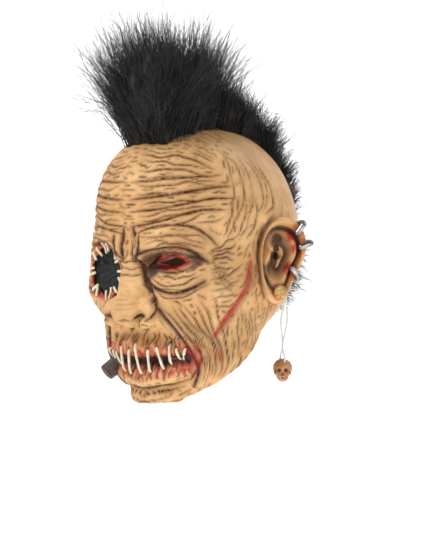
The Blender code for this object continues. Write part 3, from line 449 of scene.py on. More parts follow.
def almond(width, height, count=9):
    """An eye's outline from two arcs that meet at its corners."""
    shares = np.arange(count) / (count - 1)
    lower = [(width * (s - 0.5), -0.42 * height * math.sin(math.pi * s)) for s in shares]
    upper = [(width * (s - 0.5), 0.58 * height * math.sin(math.pi * s)) for s in shares[-2:0:-1]]
    return lower + upper


def face_place(place):
    """The skin point and its outward normal at a place of the face, given as shares."""
    point = front_skin(head_field, place[0] * HALF_WIDTH, place[1] * HALF_HEIGHT)
    return point, slope_of(base_field, point, 0.006)


def level_axis(normal):
    """The normal turned level."""
    return unit([normal[0], normal[1], 0.0])


def plug_place():
    """Where the plug goes through the left lobe: front face, back face and the axis out of the front."""
    angle, ring = np.array([math.radians(279)]), np.array([0.76])
    _, _, _, outward = ear_axes(1)
    return ear_point(1, angle, ring)[0], ear_point(1, angle, ring, behind=True)[0], outward


# The two ends of the cord, on the back of the left lobe
CORD_ENDS = [EarPoint(296, 0.80), EarPoint(290, 0.84)]


def pendant_places():
    """The cord's ends, the middle of the bead's hole, and the ways of the hole and of the cheek."""
    ends = []
    for end in CORD_ENDS:
        ends.append(ear_point(1, np.array([math.radians(end.angle_deg)]), np.array([end.reach]),
                              behind=True)[0])
    _, _, _, outward = ear_axes(1)
    side = unit([outward[0], outward[1], 0.0])
    forward = np.cross(side, [0.0, 0.0, 1.0])
    low = (ends[0] + ends[1]) / 2 - side * CORD_BEHIND + np.array([0.0, 0.0, -CORD_DROP])
    return ends, low, side, forward, outward


def smooth_line(knots, count):
    """Points evenly spread along a smooth curve through the knots."""
    knots = np.asarray(knots, float)
    padded = np.vstack([2 * knots[0] - knots[1], knots, 2 * knots[-1] - knots[-2]])
    points = []
    for i in range(len(knots) - 1):
        a, b, c, d = padded[i:i + 4]
        for t in np.linspace(0, 1, 24, endpoint=False):
            points.append(0.5 * (2 * b + (c - a) * t + (2 * a - 5 * b + 4 * c - d) * t ** 2
                                 + (3 * b - a - 3 * c + d) * t ** 3))
    points.append(knots[-1])
    points = np.array(points)
    length = np.concatenate([[0], np.cumsum(np.linalg.norm(np.diff(points, axis=0), axis=1))])
    wanted = np.linspace(0, length[-1], count)
    return np.stack([np.interp(wanted, length, points[:, k]) for k in range(3)], axis=1)


# Fur: a strip over the crown with locks fused to it
FurRow = namedtuple("FurRow", "along length lean")

# Along the strip from the hairline to the nape: lock length as a share, and lean forward in degrees
FUR_ROWS = [FurRow(0.00, 0.80, 8), FurRow(0.12, 0.84, 4), FurRow(0.18, 0.80, 5), FurRow(0.25, 0.70, 12),
            FurRow(0.31, 0.60, 20), FurRow(0.38, 0.50, 30), FurRow(0.44, 0.42, 36), FurRow(0.51, 0.36, 36),
            FurRow(0.57, 0.33, 30), FurRow(0.64, 0.33, 22), FurRow(0.73, 0.33, 12), FurRow(0.83, 0.33, 5),
            FurRow(1.00, 0.30, -5)]
STRIP_FRONT_DEG = 52.0
STRIP_BACK_DEG = 206.0


def strip_direction(along, across):
    """The ray for a place on the strip: along it from the hairline, across it in metres."""
    rise = np.radians(STRIP_FRONT_DEG + (STRIP_BACK_DEG - STRIP_FRONT_DEG) * np.asarray(along, float))
    tilt = np.asarray(across, float) / (0.92 * HALF_HEIGHT)
    return np.stack([np.sin(tilt), -np.cos(rise) * np.cos(tilt), np.sin(rise) * np.cos(tilt)], axis=-1)


def strip_point(along, across, lift):
    rays = strip_direction(along, across)
    reach = cast(base_field, RAY_CENTRE, rays)
    return RAY_CENTRE + rays * (reach + lift)[:, None]


# The skull bead, sculpted as the head is
SkullBlob = namedtuple("SkullBlob", "x y z rx ry rz")
SKULL_BLOBS = [SkullBlob(0.0, 0.10, 0.18, 0.98, 1.0, 0.80), SkullBlob(0.0, -0.45, -0.50, 0.62, 0.50, 0.50),
               SkullBlob(0.62, -0.60, -0.22, 0.26, 0.26, 0.20),
               SkullBlob(-0.62, -0.60, -0.22, 0.26, 0.26, 0.20)]
SKULL_HOLLOWS = [SkullBlob(0.38, -1.05, 0.02, 0.27, 0.40, 0.22),
                 SkullBlob(-0.38, -1.05, 0.02, 0.27, 0.40, 0.22),
                 SkullBlob(0.0, -1.05, -0.32, 0.13, 0.30, 0.14),
                 SkullBlob(0.0, -1.00, -0.66, 0.36, 0.16, 0.05)]
SKULL_HALVES = np.array([SKULL_WIDTH, SKULL_WIDTH, SKULL_HEIGHT]) / 2
SKULL_BLEND = 0.10 * SKULL_WIDTH


def skull_blob_distance(points, blob):
    return ellipsoid(points, np.array(blob[:3]) * SKULL_HALVES, np.array(blob[3:]) * SKULL_HALVES)


def skull_blobs(points):
    """The bead before its hollows."""
    field = None
    for blob in SKULL_BLOBS:
        distance = skull_blob_distance(points, blob)
        field = distance if field is None else soft_union(field, distance, SKULL_BLEND)
    return field


def skull_field(points):
    """The bead with its eyes, nose and mouth."""
    field = skull_blobs(points)
    for blob in SKULL_HOLLOWS:
        field = soft_cut(field, skull_blob_distance(points, blob), SKULL_BLEND / 2)
    return field


# The frame of the object and its pieces
CROWN = RAY_CENTRE + UP * cast(head_field, RAY_CENTRE, UP[None, :], -WALL)[0]
RANDOM = np.random.default_rng(7)
BODY = "root"


def placed(name, data):
    """An object with its data, linked to the scene."""
    made = bpy.data.objects.new(name, data)
    bpy.context.scene.collection.objects.link(made)
    return made


def clean_mesh(made):
    """Turns every face of a closed mesh outwards and shades it smooth."""
    cleaned = bmesh.new()
    cleaned.from_mesh(made.data)
    bmesh.ops.recalc_face_normals(cleaned, faces=cleaned.faces)
    if cleaned.calc_volume(signed=True) < 0:
        bmesh.ops.reverse_faces(cleaned, faces=cleaned.faces)
    cleaned.to_mesh(made.data)
    cleaned.free()
    made.data.shade_smooth()


def new_piece(name, vertices, faces, material=None):
    """A piece from sculpt points and faces, moved into the object's frame."""
    mesh = bpy.data.meshes.new(name)
    points = np.asarray(vertices, float) - CROWN
    mesh.from_pydata(points.tolist(), [], faces)
    made = placed(name, mesh)
    if material is not None:
        mesh.materials.append(material)
    clean_mesh(made)
    return made


def mesh_points(piece):
    flat = np.empty(len(piece.data.vertices) * 3)
    piece.data.vertices.foreach_get("co", flat)
    return flat.reshape(-1, 3)


def keep_evaluated(made):
    bpy.context.view_layer.update()
    evaluated = made.evaluated_get(bpy.context.evaluated_depsgraph_get())
    mesh = bpy.data.meshes.new_from_object(evaluated)
    made.modifiers.clear()
    made.data = mesh


def boolean(made, other, operation):
    """Joins another mesh to this one or cuts it away, and removes the other."""
    modifier = made.modifiers.new(operation.title(), "BOOLEAN")
    modifier.operation = operation
    modifier.solver = "MANIFOLD"
    modifier.object = other
    keep_evaluated(made)
    bpy.data.objects.remove(other)


def on_body(piece, *nodes, slot=None):
    """Makes a piece ride on the mask, and hides the solids that it stands for."""
    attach(piece, BODY)
    if nodes:
        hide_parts(*nodes)
    return piece


# Camera: at the photograph's angle, level with the face
CAMERA_TURN = math.radians(40)
CAMERA_DISTANCE = 1.9
VIEW_HEIGHT = 0.510
VIEW_RIGHT = 0.009
VIEW_DOWN = 0.0033


def make_camera():
    back = np.array([math.sin(CAMERA_TURN), -math.cos(CAMERA_TURN), 0.0])
    right = np.array([math.cos(CAMERA_TURN), math.sin(CAMERA_TURN), 0.0])
    place = right * VIEW_RIGHT - UP * VIEW_DOWN + back * CAMERA_DISTANCE - CROWN
    lens = bpy.data.cameras.new("camera")
    camera = placed("camera", lens)
    columns = [right, UP, back, place]
    camera.matrix_world = Matrix([[float(c[k]) for c in columns] for k in range(3)] + [[0, 0, 0, 1]])
    lens.sensor_fit = "VERTICAL"
    lens.angle = 2 * math.atan(VIEW_HEIGHT / 2 / CAMERA_DISTANCE)
    bpy.context.scene.camera = camera


# Materials
def new_material(name, colour, roughness, metallic=0.0):
    material = bpy.data.materials.new(name)
    material.use_nodes = True
    shader = material.node_tree.nodes["Principled BSDF"]
    shader.inputs["Base Color"].default_value = (*colour, 1.0)
    shader.inputs["Roughness"].default_value = roughness
    shader.inputs["Metallic"].default_value = metallic
    return material


class Nodes:
    """Short calls for the nodes of one material."""

    def __init__(self, material):
        self.tree = material.node_tree
        self.shader = self.tree.nodes["Principled BSDF"]
        self.place = self.tree.nodes.new("ShaderNodeTexCoord").outputs["Object"]

    def join(self, output, socket):
        self.tree.links.new(output, socket)

    def noise(self, scale, detail=4.0, rough=0.55, distortion=0.0, stretch=None):
        node = self.tree.nodes.new("ShaderNodeTexNoise")
        node.inputs["Scale"].default_value = scale
        node.inputs["Detail"].default_value = detail
        node.inputs["Roughness"].default_value = rough
        node.inputs["Distortion"].default_value = distortion
        self.join(self.stretched(stretch), node.inputs["Vector"])
        return node.outputs["Fac"]

    def cells(self, scale):
        node = self.tree.nodes.new("ShaderNodeTexVoronoi")
        node.inputs["Scale"].default_value = scale
        self.join(self.place, node.inputs["Vector"])
        return node.outputs["Distance"]

    def stretched(self, stretch):
        if stretch is None:
            return self.place
        node = self.tree.nodes.new("ShaderNodeMapping")
        node.inputs["Scale"].default_value = stretch
        self.join(self.place, node.inputs["Vector"])
        return node.outputs["Vector"]

    def steps(self, value, low, high, to_low=0.0, to_high=1.0):
        node = self.tree.nodes.new("ShaderNodeMapRange")
        node.inputs["From Min"].default_value = low
        node.inputs["From Max"].default_value = high
        node.inputs["To Min"].default_value = to_low
        node.inputs["To Max"].default_value = to_high
        self.join(value, node.inputs["Value"])
        return node.outputs["Result"]

    def maths(self, operation, a, b):
        node = self.tree.nodes.new("ShaderNodeMath")
        node.operation = operation
        for socket, value in zip(node.inputs, (a, b)):
            if isinstance(value, (int, float)):
                socket.default_value = value
            else:
                self.join(value, socket)
        return node.outputs[0]

    def mix(self, share, a, b):
        node = self.tree.nodes.new("ShaderNodeMix")
        node.data_type = "RGBA"
        sockets = [node.inputs[0], node.inputs[6], node.inputs[7]]
        for socket, value in zip(sockets, (share, a, b)):
            if isinstance(value, (int, float)):
                socket.default_value = value
            elif isinstance(value, tuple):
                socket.default_value = (*value, 1.0)
            else:
                self.join(value, socket)
        return node.outputs[2]

    def attribute(self, name):
        node = self.tree.nodes.new("ShaderNodeAttribute")
        node.attribute_name = name
        return node.outputs["Fac"]

    def bump(self, height, distance, strength=1.0, below=None):
        node = self.tree.nodes.new("ShaderNodeBump")
        node.inputs["Distance"].default_value = distance
        node.inputs["Strength"].default_value = strength
        self.join(height, node.inputs["Height"])
        if below is not None:
            self.join(below, node.inputs["Normal"])
        return node.outputs["Normal"]


SKIN_TAN = (0.69, 0.380, 0.153)
SKIN_PALE = (0.83, 0.510, 0.228)
SKIN_ORANGE = (0.66, 0.320, 0.112)
# Brown of the random specks, and of the painted shade along the creases
SPECK_AND_CREASE_SHADE_BROWN = (0.058, 0.015, 0.004)
WOUND_RED = (0.46, 0.022, 0.022)
# Bruise paint round the eye, also used for painted shade in folds, ears and stitch holes, and for the dark
# of the lips' gap
BRUISE_AND_SHADE = (0.042, 0.010, 0.010)


def latex_material():
    """Painted latex: mottled tan with specks, painted brown shade in the creases, folds and ears and on the
    inner wall, red wounds and bruised lids.
    """
    material = new_material("latex", SKIN_TAN, 0.44)
    n = Nodes(material)
    blotch = n.steps(n.noise(38, 5, 0.6), 0.40, 0.66)
    colour = n.mix(blotch, SKIN_TAN, SKIN_PALE)
    warm = n.steps(n.noise(21, 4, 0.6, stretch=(1.0, 1.3, 0.8)), 0.52, 0.78, 0.0, 0.55)
    colour = n.mix(warm, colour, SKIN_ORANGE)
    speck = n.steps(n.cells(420), 0.10, 0.02, 0.0, 0.35)
    colour = n.mix(speck, colour, SPECK_AND_CREASE_SHADE_BROWN)
    # Painted shade: brown darkening along the creases and the deep folds, broken up a little by noise
    crease = n.attribute("crease")
    broken = n.steps(n.noise(260, 3, 0.7), 0.30, 0.60, 0.70, 1.15)
    colour = n.mix(n.maths("MULTIPLY", crease, broken), colour, SPECK_AND_CREASE_SHADE_BROWN)
    red = n.maths("MULTIPLY", n.attribute("red"), n.steps(n.noise(150, 4, 0.7), 0.34, 0.60, 0.5, 1.0))
    colour = n.mix(red, colour, WOUND_RED)
    # Bruise paint round the eye, with painted shade in the deep folds, the ears and round the stitch holes,
    # and dark in the lips' gap
    colour = n.mix(n.attribute("bruise_and_shade"), colour, BRUISE_AND_SHADE)
    # Painted shade: the whole inner wall darkened, as it lies in shade
    colour = n.mix(n.attribute("inside"), colour, (0.20, 0.12, 0.06))
    n.join(colour, n.shader.inputs["Base Color"])
    gloss = n.steps(n.noise(90, 3), 0.3, 0.7, 0.36, 0.56)
    n.join(n.maths("MAXIMUM", gloss, n.steps(crease, 0.1, 0.7, 0.4, 0.95)), n.shader.inputs["Roughness"])
    n.shader.inputs["Specular IOR Level"].default_value = 0.38
    n.shader.inputs["Subsurface Weight"].default_value = 0.06
    n.shader.inputs["Subsurface Scale"].default_value = 0.004
    wrinkle = n.noise(330, 4, 0.62, 0.6, (1.0, 1.0, 1.6))
    normal = n.bump(wrinkle, 0.0011, 0.55)
    n.join(n.bump(n.cells(900), 0.0003, 0.4, normal), n.shader.inputs["Normal"])
    return material


def fur_material():
    """Black acrylic hair with a soft grey sheen."""
    material = new_material("fur", (0.011, 0.011, 0.012), 0.48)
    n = Nodes(material)
    tone = n.steps(n.noise(60, 3), 0.35, 0.70)
    n.join(n.mix(tone, (0.007, 0.007, 0.007), (0.038, 0.038, 0.037)), n.shader.inputs["Base Color"])
    n.shader.inputs["Specular IOR Level"].default_value = 0.35
    return material


def thread_material():
    """Waxed cream cord with a fine twist."""
    material = new_material("stitch", (0.80, 0.74, 0.48), 0.5)
    n = Nodes(material)
    tone = n.steps(n.noise(300, 3), 0.3, 0.7)
    n.join(n.mix(tone, (0.66, 0.58, 0.34), (0.88, 0.83, 0.62)), n.shader.inputs["Base Color"])
    n.join(n.bump(n.noise(700, 2), 0.0006, 0.6), n.shader.inputs["Normal"])
    return material


def silver_material():
    material = new_material("silver", (0.62, 0.64, 0.63), 0.26, 1.0)
    n = Nodes(material)
    tone = n.steps(n.noise(180, 4), 0.3, 0.7)
    n.join(n.mix(tone, (0.20, 0.22, 0.21), (0.46, 0.48, 0.47)), n.shader.inputs["Base Color"])
    n.join(n.steps(n.noise(240, 4), 0.3, 0.7, 0.16, 0.38), n.shader.inputs["Roughness"])
    n.join(n.bump(n.noise(120, 2), 0.0004, 0.4), n.shader.inputs["Normal"])
    return material


def gold_material():
    material = new_material("gold", (0.62, 0.40, 0.12), 0.42, 0.35)
    n = Nodes(material)
    tone = n.steps(n.noise(420, 5, 0.7), 0.36, 0.64)
    n.join(n.mix(tone, (0.42, 0.19, 0.035), (0.86, 0.62, 0.24)), n.shader.inputs["Base Color"])
    n.join(n.bump(n.noise(520, 4, 0.7), 0.0016, 0.9), n.shader.inputs["Normal"])
    return material


def bone_material():
    """Carved bead, darker brown in its hollows."""
    material = new_material("bone", (0.48, 0.22, 0.09), 0.42)
    n = Nodes(material)
    tone = n.steps(n.noise(230, 4), 0.3, 0.7)
    colour = n.mix(tone, (0.40, 0.155, 0.050), (0.60, 0.31, 0.14))
    colour = n.mix(n.attribute("hollow"), colour, (0.085, 0.020, 0.008))
    n.join(colour, n.shader.inputs["Base Color"])
    n.join(n.bump(n.noise(600, 3), 0.0005, 0.5), n.shader.inputs["Normal"])
    return material


def cigar_material():
    material = new_material("cigar", (0.06, 0.045, 0.035), 0.6)
    n = Nodes(material)
    tone = n.steps(n.noise(160, 5, 0.65, 0.5), 0.36, 0.66)
    colour = n.mix(tone, (0.030, 0.022, 0.018), (0.115, 0.085, 0.060))
    colour = n.mix(n.attribute("burnt"), colour, (0.020, 0.017, 0.016))
    colour = n.mix(n.attribute("ember"), colour, (0.16, 0.020, 0.018))
    n.join(colour, n.shader.inputs["Base Color"])
    n.join(n.bump(n.noise(260, 5, 0.7, 1.0), 0.0010, 0.8), n.shader.inputs["Normal"])
    return material


def gauze_material():
    material = new_material("gauze", (0.010, 0.010, 0.010), 0.75)
    n = Nodes(material)
    tone = n.steps(n.noise(240, 3), 0.35, 0.65)
    n.join(n.mix(tone, (0.004, 0.004, 0.004), (0.022, 0.022, 0.023)), n.shader.inputs["Base Color"])
    n.join(n.bump(n.cells(1100), 0.0005, 0.9), n.shader.inputs["Normal"])
    return material


def cord_material():
    material = new_material("cord", (0.84, 0.83, 0.79), 0.65)
    n = Nodes(material)
    tone = n.steps(n.noise(500, 3), 0.3, 0.7)
    n.join(n.mix(tone, (0.70, 0.68, 0.62), (0.90, 0.89, 0.86)), n.shader.inputs["Base Color"])
    n.join(n.bump(n.noise(900, 2), 0.0005, 0.7), n.shader.inputs["Normal"])
    return material


# The skin
SKIN_COLUMNS = 318
SKIN_ROWS = 246
SKIN_WARP = 0.55
FOLD_REACH = 0.012
INNER_COLUMNS = 100
INNER_ROWS = 40
CORE_COLUMNS = 120
CORE_ROWS = 40
EAR_RINGS = 44
EAR_SPOKES = 120


def fine_grid(level, rows, columns, bottom_of, fine=3):
    """Rows of points from the rim up, and the crown's point. A coarse cast starts the fine one."""
    share = circle_turns(columns)
    turns = share - SKIN_WARP * np.sin(share)
    bottom = bottom_of(turns)
    climb = np.arange(rows) / rows
    climb = climb * (0.74 + 0.26 * climb)
    rises = bottom[None, :] + (math.pi / 2 - bottom[None, :]) * climb[:, None]
    rays = direction(np.broadcast_to(turns, rises.shape), rises)
    coarse_rows = np.unique(np.append(np.arange(0, rows, fine), rows - 1))
    coarse_columns = np.arange(0, columns, fine)
    coarse = rays[coarse_rows][:, coarse_columns]
    reach = cast(base_field, RAY_CENTRE, coarse.reshape(-1, 3), level, steps=34).reshape(coarse.shape[:2])
    reach = np.array([np.interp(np.arange(columns), np.append(coarse_columns, columns), np.append(r, r[0]))
                      for r in reach])
    reach = np.array([np.interp(np.arange(rows), coarse_rows, r) for r in reach.T]).T
    rays = np.vstack([rays.reshape(-1, 3), UP])
    start = np.append(reach.reshape(-1), reach[-1].mean()) + FOLD_REACH
    reach = cast(head_field, RAY_CENTRE, rays, level, start=start, steps=15)
    return RAY_CENTRE + rays * reach[:, None]


def rim_table():
    """The rim's rise for any turn, from a table worked out once."""
    turns = np.linspace(-math.pi, math.pi, 181)
    rises = rim_rises(turns)
    return lambda wanted: np.interp((wanted + math.pi) % (2 * math.pi) - math.pi, turns, rises)


def lattice_faces(rows, columns, first, outward):
    faces = grid_faces(rows, columns, first)
    faces += fan_faces(first + (rows - 1) * columns, columns, first + rows * columns)
    return faces if outward else [f[::-1] for f in faces]


def normals_of(points, rows, columns):
    """Outward normals of a lattice from its neighbours."""
    body = points[:-1].reshape(rows, columns, 3)
    round_ = np.roll(body, -1, axis=1) - np.roll(body, 1, axis=1)
    climb = np.gradient(body, axis=0)
    normal = np.cross(round_, climb).reshape(-1, 3)
    normal /= np.maximum(np.linalg.norm(normal, axis=1), 1e-12)[:, None]
    facing = np.sign(np.einsum("ij,ij->i", normal, points[:-1] - RAY_CENTRE))
    return np.vstack([normal * facing[:, None], UP])


def strip_band(first, columns, inner_first, inner_columns):
    """Faces that join the outer rim to the coarser inner rim."""
    faces = []
    inner_of = [round(j * inner_columns / columns) % inner_columns for j in range(columns)]
    for j in range(columns):
        k = (j + 1) % columns
        a, b = inner_first + inner_of[j], inner_first + inner_of[k]
        faces.append((first + j, first + k, a) if a == b else (first + j, first + k, b, a))
    return faces


class Ground:
    """The smooth head before its creases, on which everything is placed."""

    def __init__(self):
        self.rim = rim_table()
        self.points = fine_grid(0.0, SKIN_ROWS, SKIN_COLUMNS, self.rim)
        self.normals = normals_of(self.points, SKIN_ROWS, SKIN_COLUMNS)
        faces = lattice_faces(SKIN_ROWS, SKIN_COLUMNS, 0, True)
        self.tree = BVHTree.FromPolygons(self.points.tolist(), faces)

    def hit(self, start, aim):
        """The first point of the skin on a ray, and its outward normal."""
        place, normal, _, _ = self.tree.ray_cast(Vector(start), Vector(aim))
        if place is None:
            place, normal, _, _ = self.tree.find_nearest(Vector(start))
        return np.array(place), np.array(normal)

    def nearest(self, point):
        place, normal, _, _ = self.tree.find_nearest(Vector(point))
        return np.array(place), np.array(normal)

    def at(self, turns, heights):
        """Points of the skin at turns round the head, in degrees, and heights as shares."""
        places = []
        for turn, height in zip(np.radians(turns), heights):
            centre = np.array([0.0, RAY_CENTRE[1], height * HALF_HEIGHT])
            out = direction(turn, 0.0)
            places.append(self.hit(centre + 2.6 * HALF_WIDTH * out, -out)[0])
        return np.array(places)

    def front(self, x, z):
        """The face's point and normal at x and z, seen from the front."""
        return self.hit([x, -2.6 * HALF_DEPTH, z], [0.0, 1.0, 0.0])


def skin_body(ground, creases):
    """The head's latex: a fine creased outside, a plain inside and the rim between them."""
    height, tone, red, fold = creases.fields(ground.points)
    outer = ground.points + ground.normals * height[:, None]
    inner = fine_grid(-WALL, INNER_ROWS, INNER_COLUMNS, ground.rim, fine=1)
    faces = lattice_faces(SKIN_ROWS, SKIN_COLUMNS, 0, True)
    faces += lattice_faces(INNER_ROWS, INNER_COLUMNS, len(outer), False)
    faces += strip_band(0, SKIN_COLUMNS, len(outer), INNER_COLUMNS)
    skin = new_piece("skin", np.vstack([outer, inner]), faces)
    plain = np.zeros(len(inner))
    # Painted shade along the creases and the deep folds, red paint of the scar, and painted shade over the
    # whole inner wall
    set_attribute(skin, "crease", np.concatenate([tone, plain]))
    set_attribute(skin, "scar", np.concatenate([red, plain]))
    set_attribute(skin, "fold", np.concatenate([fold, plain]))
    set_attribute(skin, "inside", np.concatenate([np.zeros(len(outer)), plain + 1]))
    return skin


def head_core(ground, level):
    """The head filled up to a level of the field, as a cutter for the ears' roots."""
    columns, rows = CORE_COLUMNS, CORE_ROWS
    points = fine_grid(level, rows, columns, ground.rim, fine=1)
    points = np.vstack([points, points[:columns].mean(axis=0)])
    faces = lattice_faces(rows, columns, 0, True)
    faces += [f[::-1] for f in fan_faces(0, columns, len(points) - 1)]
    return new_piece("core", points, faces)


def fine_ear(sign, rings, spokes):
    """An ear from fine polar rings, with its folds."""
    angles = circle_turns(spokes)
    shares = 1 - (1 - np.arange(1, rings + 1) / rings) ** 1.15
    points = [ear_point(sign, angles[:1], np.array([0.0]))]
    points += [ear_point(sign, angles, np.full(spokes, share)) for share in shares]
    back = shares[-2::-3]
    points += [ear_point(sign, angles, np.full(spokes, share), behind=True) for share in back]
    points.append(ear_point(sign, angles[:1], np.array([0.0]), behind=True))
    return new_piece("ear", np.vstack(points), spindle_faces(len(shares) + len(back), spokes))


def cut(piece, middle, axis, outline, before, after):
    """Cuts a hole with a set outline through a piece."""
    boolean(piece, prism("cutter", middle, axis, outline, before, after), "DIFFERENCE")


def cut_skin_openings(skin):
    """The eye slit, the gouged eye, the nostrils, the ear canals, the plug's hole and the cigar's hole."""
    depth = 0.5 * HALF_WIDTH
    point, normal = face_place(EYE_SLIT_PLACE)
    cut(skin, point, level_axis(normal), almond(EYE_SLIT_WIDTH, EYE_SLIT_HEIGHT, 17), depth, depth)
    point, normal = face_place(GOUGED_EYE_PLACE)
    cut(skin, point, level_axis(normal), torn_outline(GOUGED_EYE_WIDTH, GOUGED_EYE_HEIGHT), depth, depth)
    for sign in (1, -1):
        x, z = NOSTRIL_PLACE
        point = front_skin(head_field, sign * x * HALF_WIDTH, z * HALF_HEIGHT)
        outline = circle(NOSTRIL_DIAMETER * 0.66, NOSTRIL_DIAMETER * 0.90, 24)
        cut(skin, point, unit([0.0, 0.45, 1.0]), outline, 3 * NOSTRIL_DIAMETER, 1.25 * NOSTRIL_DIAMETER)
        canal = ear_point(sign, np.array([math.radians(190)]), np.array([0.10]))[0]
        outline = circle(EAR_CANAL_DIAMETER / 2, EAR_CANAL_DIAMETER / 2, 24)
        cut(skin, canal, unit([-sign, 0.05, 0.0]), outline, depth, depth)
    front, back, axis = plug_place()
    hole = PLUG_POST_DIAMETER / 2 + GAP
    reach = (front - back) @ axis + PLUG_DIAMETER
    cut(skin, front, axis, circle(hole, hole, 20), reach, PLUG_DIAMETER)
    point, _ = face_place(CIGAR_PLACE)
    hole = CIGAR_DIAMETER / 2 + GAP
    cut(skin, point, unit(CIGAR_AIM), circle(hole, hole, 28), CIGAR_OUT + CIGAR_IN, CIGAR_OUT + CIGAR_IN)


def torn_outline(width, height):
    """An oval with a ragged edge."""
    angles = circle_turns(64)
    ragged = 1 + 0.035 * np.sin(7 * angles + 1) + 0.025 * np.sin(13 * angles)
    ragged = ragged + 0.015 * np.sin(22 * angles + 2)
    return [(width / 2 * r * math.cos(a), height / 2 * r * math.sin(a)) for a, r in zip(angles, ragged)]


def prism(name, middle, axis, outline, before, after):
    """A closed prism from before to after its middle, with an outline of (across, up) offsets."""
    axis = unit(axis)
    across, upward = frame_along(axis)
    count = len(outline)
    ring = np.array([a * across + u * upward for a, u in outline])
    points = np.vstack([middle - axis * before + ring, middle + axis * after + ring])
    faces = grid_faces(2, count)
    faces.append(tuple(range(count))[::-1])
    faces.append(tuple(range(count, 2 * count)))
    return new_piece(name, points, faces)


# Where the skin is coloured
def near_chain(points, line):
    """Distance from each point to a line of points."""
    best = np.full(len(points), 1.0)
    for start, end in zip(line[:-1], line[1:]):
        along = end - start
        t = np.clip((points - start) @ along / (along @ along), 0, 1)
        best = np.minimum(best, np.linalg.norm(points - start - t[:, None] * along, axis=1))
    return best


def fade(distance, near, far):
    """One within the near distance, falling to none at the far one."""
    return 1 - smooth_step((distance - near) / (far - near))


def eye_offsets(points, axes):
    """Offsets from an eye's middle, across and up its face, in metres."""
    middle, _, across, upward = axes
    return (points - middle) @ across, (points - middle) @ upward


def oval_distance(across, upward, width, height):
    """Close to the distance outside an oval."""
    share = np.hypot(across / (width / 2), upward / (height / 2))
    return (share - 1) * (width + height) / 4


def paint_skin(skin):
    """Writes where the skin is red and where it is dark: bruise paint round the eye, dark in the gap between
    the lips, and painted shade in the deep folds, round the stitch holes and in the ears.
    """
    points = mesh_points(skin) + CROWN
    red = read_attribute(skin, "scar")
    front = points[:, 1] < -0.3 * HALF_DEPTH
    across, upward = eye_offsets(points, GOUGE_AXES)
    away = oval_distance(across, upward, GOUGED_EYE_WIDTH, GOUGED_EYE_HEIGHT)
    gouge = fade(away, 0.0008, 0.0085) * front * (points[:, 0] < 0)
    red = np.maximum(red, 0.95 * gouge)
    across, upward = eye_offsets(points, SLIT_AXES)
    away = oval_distance(across, upward, 1.06 * EYE_SLIT_WIDTH, 1.5 * EYE_SLIT_HEIGHT)
    near_eye = front & (points[:, 0] > 0)
    red = np.maximum(red, fade(away, 0.0004, 0.0034) * near_eye)
    bruise_and_shade = 0.80 * fade(np.abs(away - 0.0046), 0.0008, 0.0040) * near_eye
    corner = np.hypot(across + 0.60 * EYE_SLIT_WIDTH, (upward + 0.004) * 0.62)
    bruise_and_shade = np.maximum(bruise_and_shade, 0.95 * fade(corner, 0.0040, 0.0100) * near_eye)
    outer = np.hypot((across - 0.66 * EYE_SLIT_WIDTH) * 0.55, upward - 0.001)
    bruise_and_shade = np.maximum(bruise_and_shade, 0.75 * fade(outer, 0.0010, 0.0042) * near_eye)
    flat = np.array([1.0, 0.0, 1.0])
    mouth = near_chain(points * flat, MOUTH_CHAIN * flat)
    upper = points[:, 2] > mouth_height(points[:, 0] / HALF_WIDTH) * HALF_HEIGHT
    ragged = 0.0030 * np.sin(points[:, 0] * 900) + 0.0016 * np.sin(points[:, 0] * 2100 + 1)
    reach = np.where(upper, 0.0185, 0.0165)
    lips = fade(mouth + ragged, 0.0070, reach) * front
    red = np.maximum(red, 0.95 * lips)
    # Dark along the gap between the lips
    bruise_and_shade = np.maximum(bruise_and_shade, 1.25 * fade(mouth + 0.3 * ragged, 0.0032, 0.0072) * front)
    # Painted shade round each stitch's hole, where the cord goes into the skin
    for place in STITCH_ENDS:
        bruise_and_shade = np.maximum(bruise_and_shade, 0.9 * fade(np.linalg.norm(points - place, axis=1), 0.0010, 0.0030))
    # Painted shade of the deep folds, in the bruise colour
    bruise_and_shade = np.maximum(bruise_and_shade, read_attribute(skin, "fold"))
    red = np.maximum(red, ear_wounds(points))
    # Painted shade in the ears, in the bruise colour
    bruise_and_shade = np.maximum(bruise_and_shade, 0.90 * ear_shade(points))
    for name, values in (("red", red), ("bruise_and_shade", bruise_and_shade)):
        set_attribute(skin, name, values)


def set_attribute(piece, name, values):
    layer = piece.data.attributes.get(name) or piece.data.attributes.new(name, "FLOAT", "POINT")
    layer.data.foreach_set("value", np.asarray(values, np.float32))


def read_attribute(piece, name):
    values = np.empty(len(piece.data.vertices), np.float32)
    piece.data.attributes[name].data.foreach_get("value", values)
    return values.astype(float)


def ear_place(points, sign):
    """Each point's angle round the ear, its share of the way to the outline, and its height."""
    middle, backward, upward, outward = ear_axes(sign)
    offset = points - middle
    scale = np.linalg.norm(backward)
    a, b = offset @ (backward / scale) / scale, offset @ upward
    angle = np.arctan2(b, a)
    return angle, np.hypot(a, b) / ear_reach(angle), offset @ outward


def ear_wounds(points):
    """Red round each cuff's foot and under the plug."""
    red = np.zeros(len(points))
    for angle_deg in CUFF_ANGLES_DEG:
        for ring in (0.62, 0.74, 0.88):
            place = ear_point(1, np.array([math.radians(angle_deg)]), np.array([ring]))[0]
            red = np.maximum(red, fade(np.linalg.norm(points - place, axis=1), 0.0030, 0.0098))
    front, _, _ = plug_place()
    return np.maximum(red, 0.8 * fade(np.linalg.norm(points - front, axis=1), 0.0065, 0.0105))


def ring_bump(ring, middle, width):
    return np.exp(-((ring - middle) / width) ** 2)


def sector(angle, middle, width):
    """One at the middle angle, fading on both sides of it."""
    return np.exp(-(np.angle(np.exp(1j * (angle - middle))) / width) ** 2)


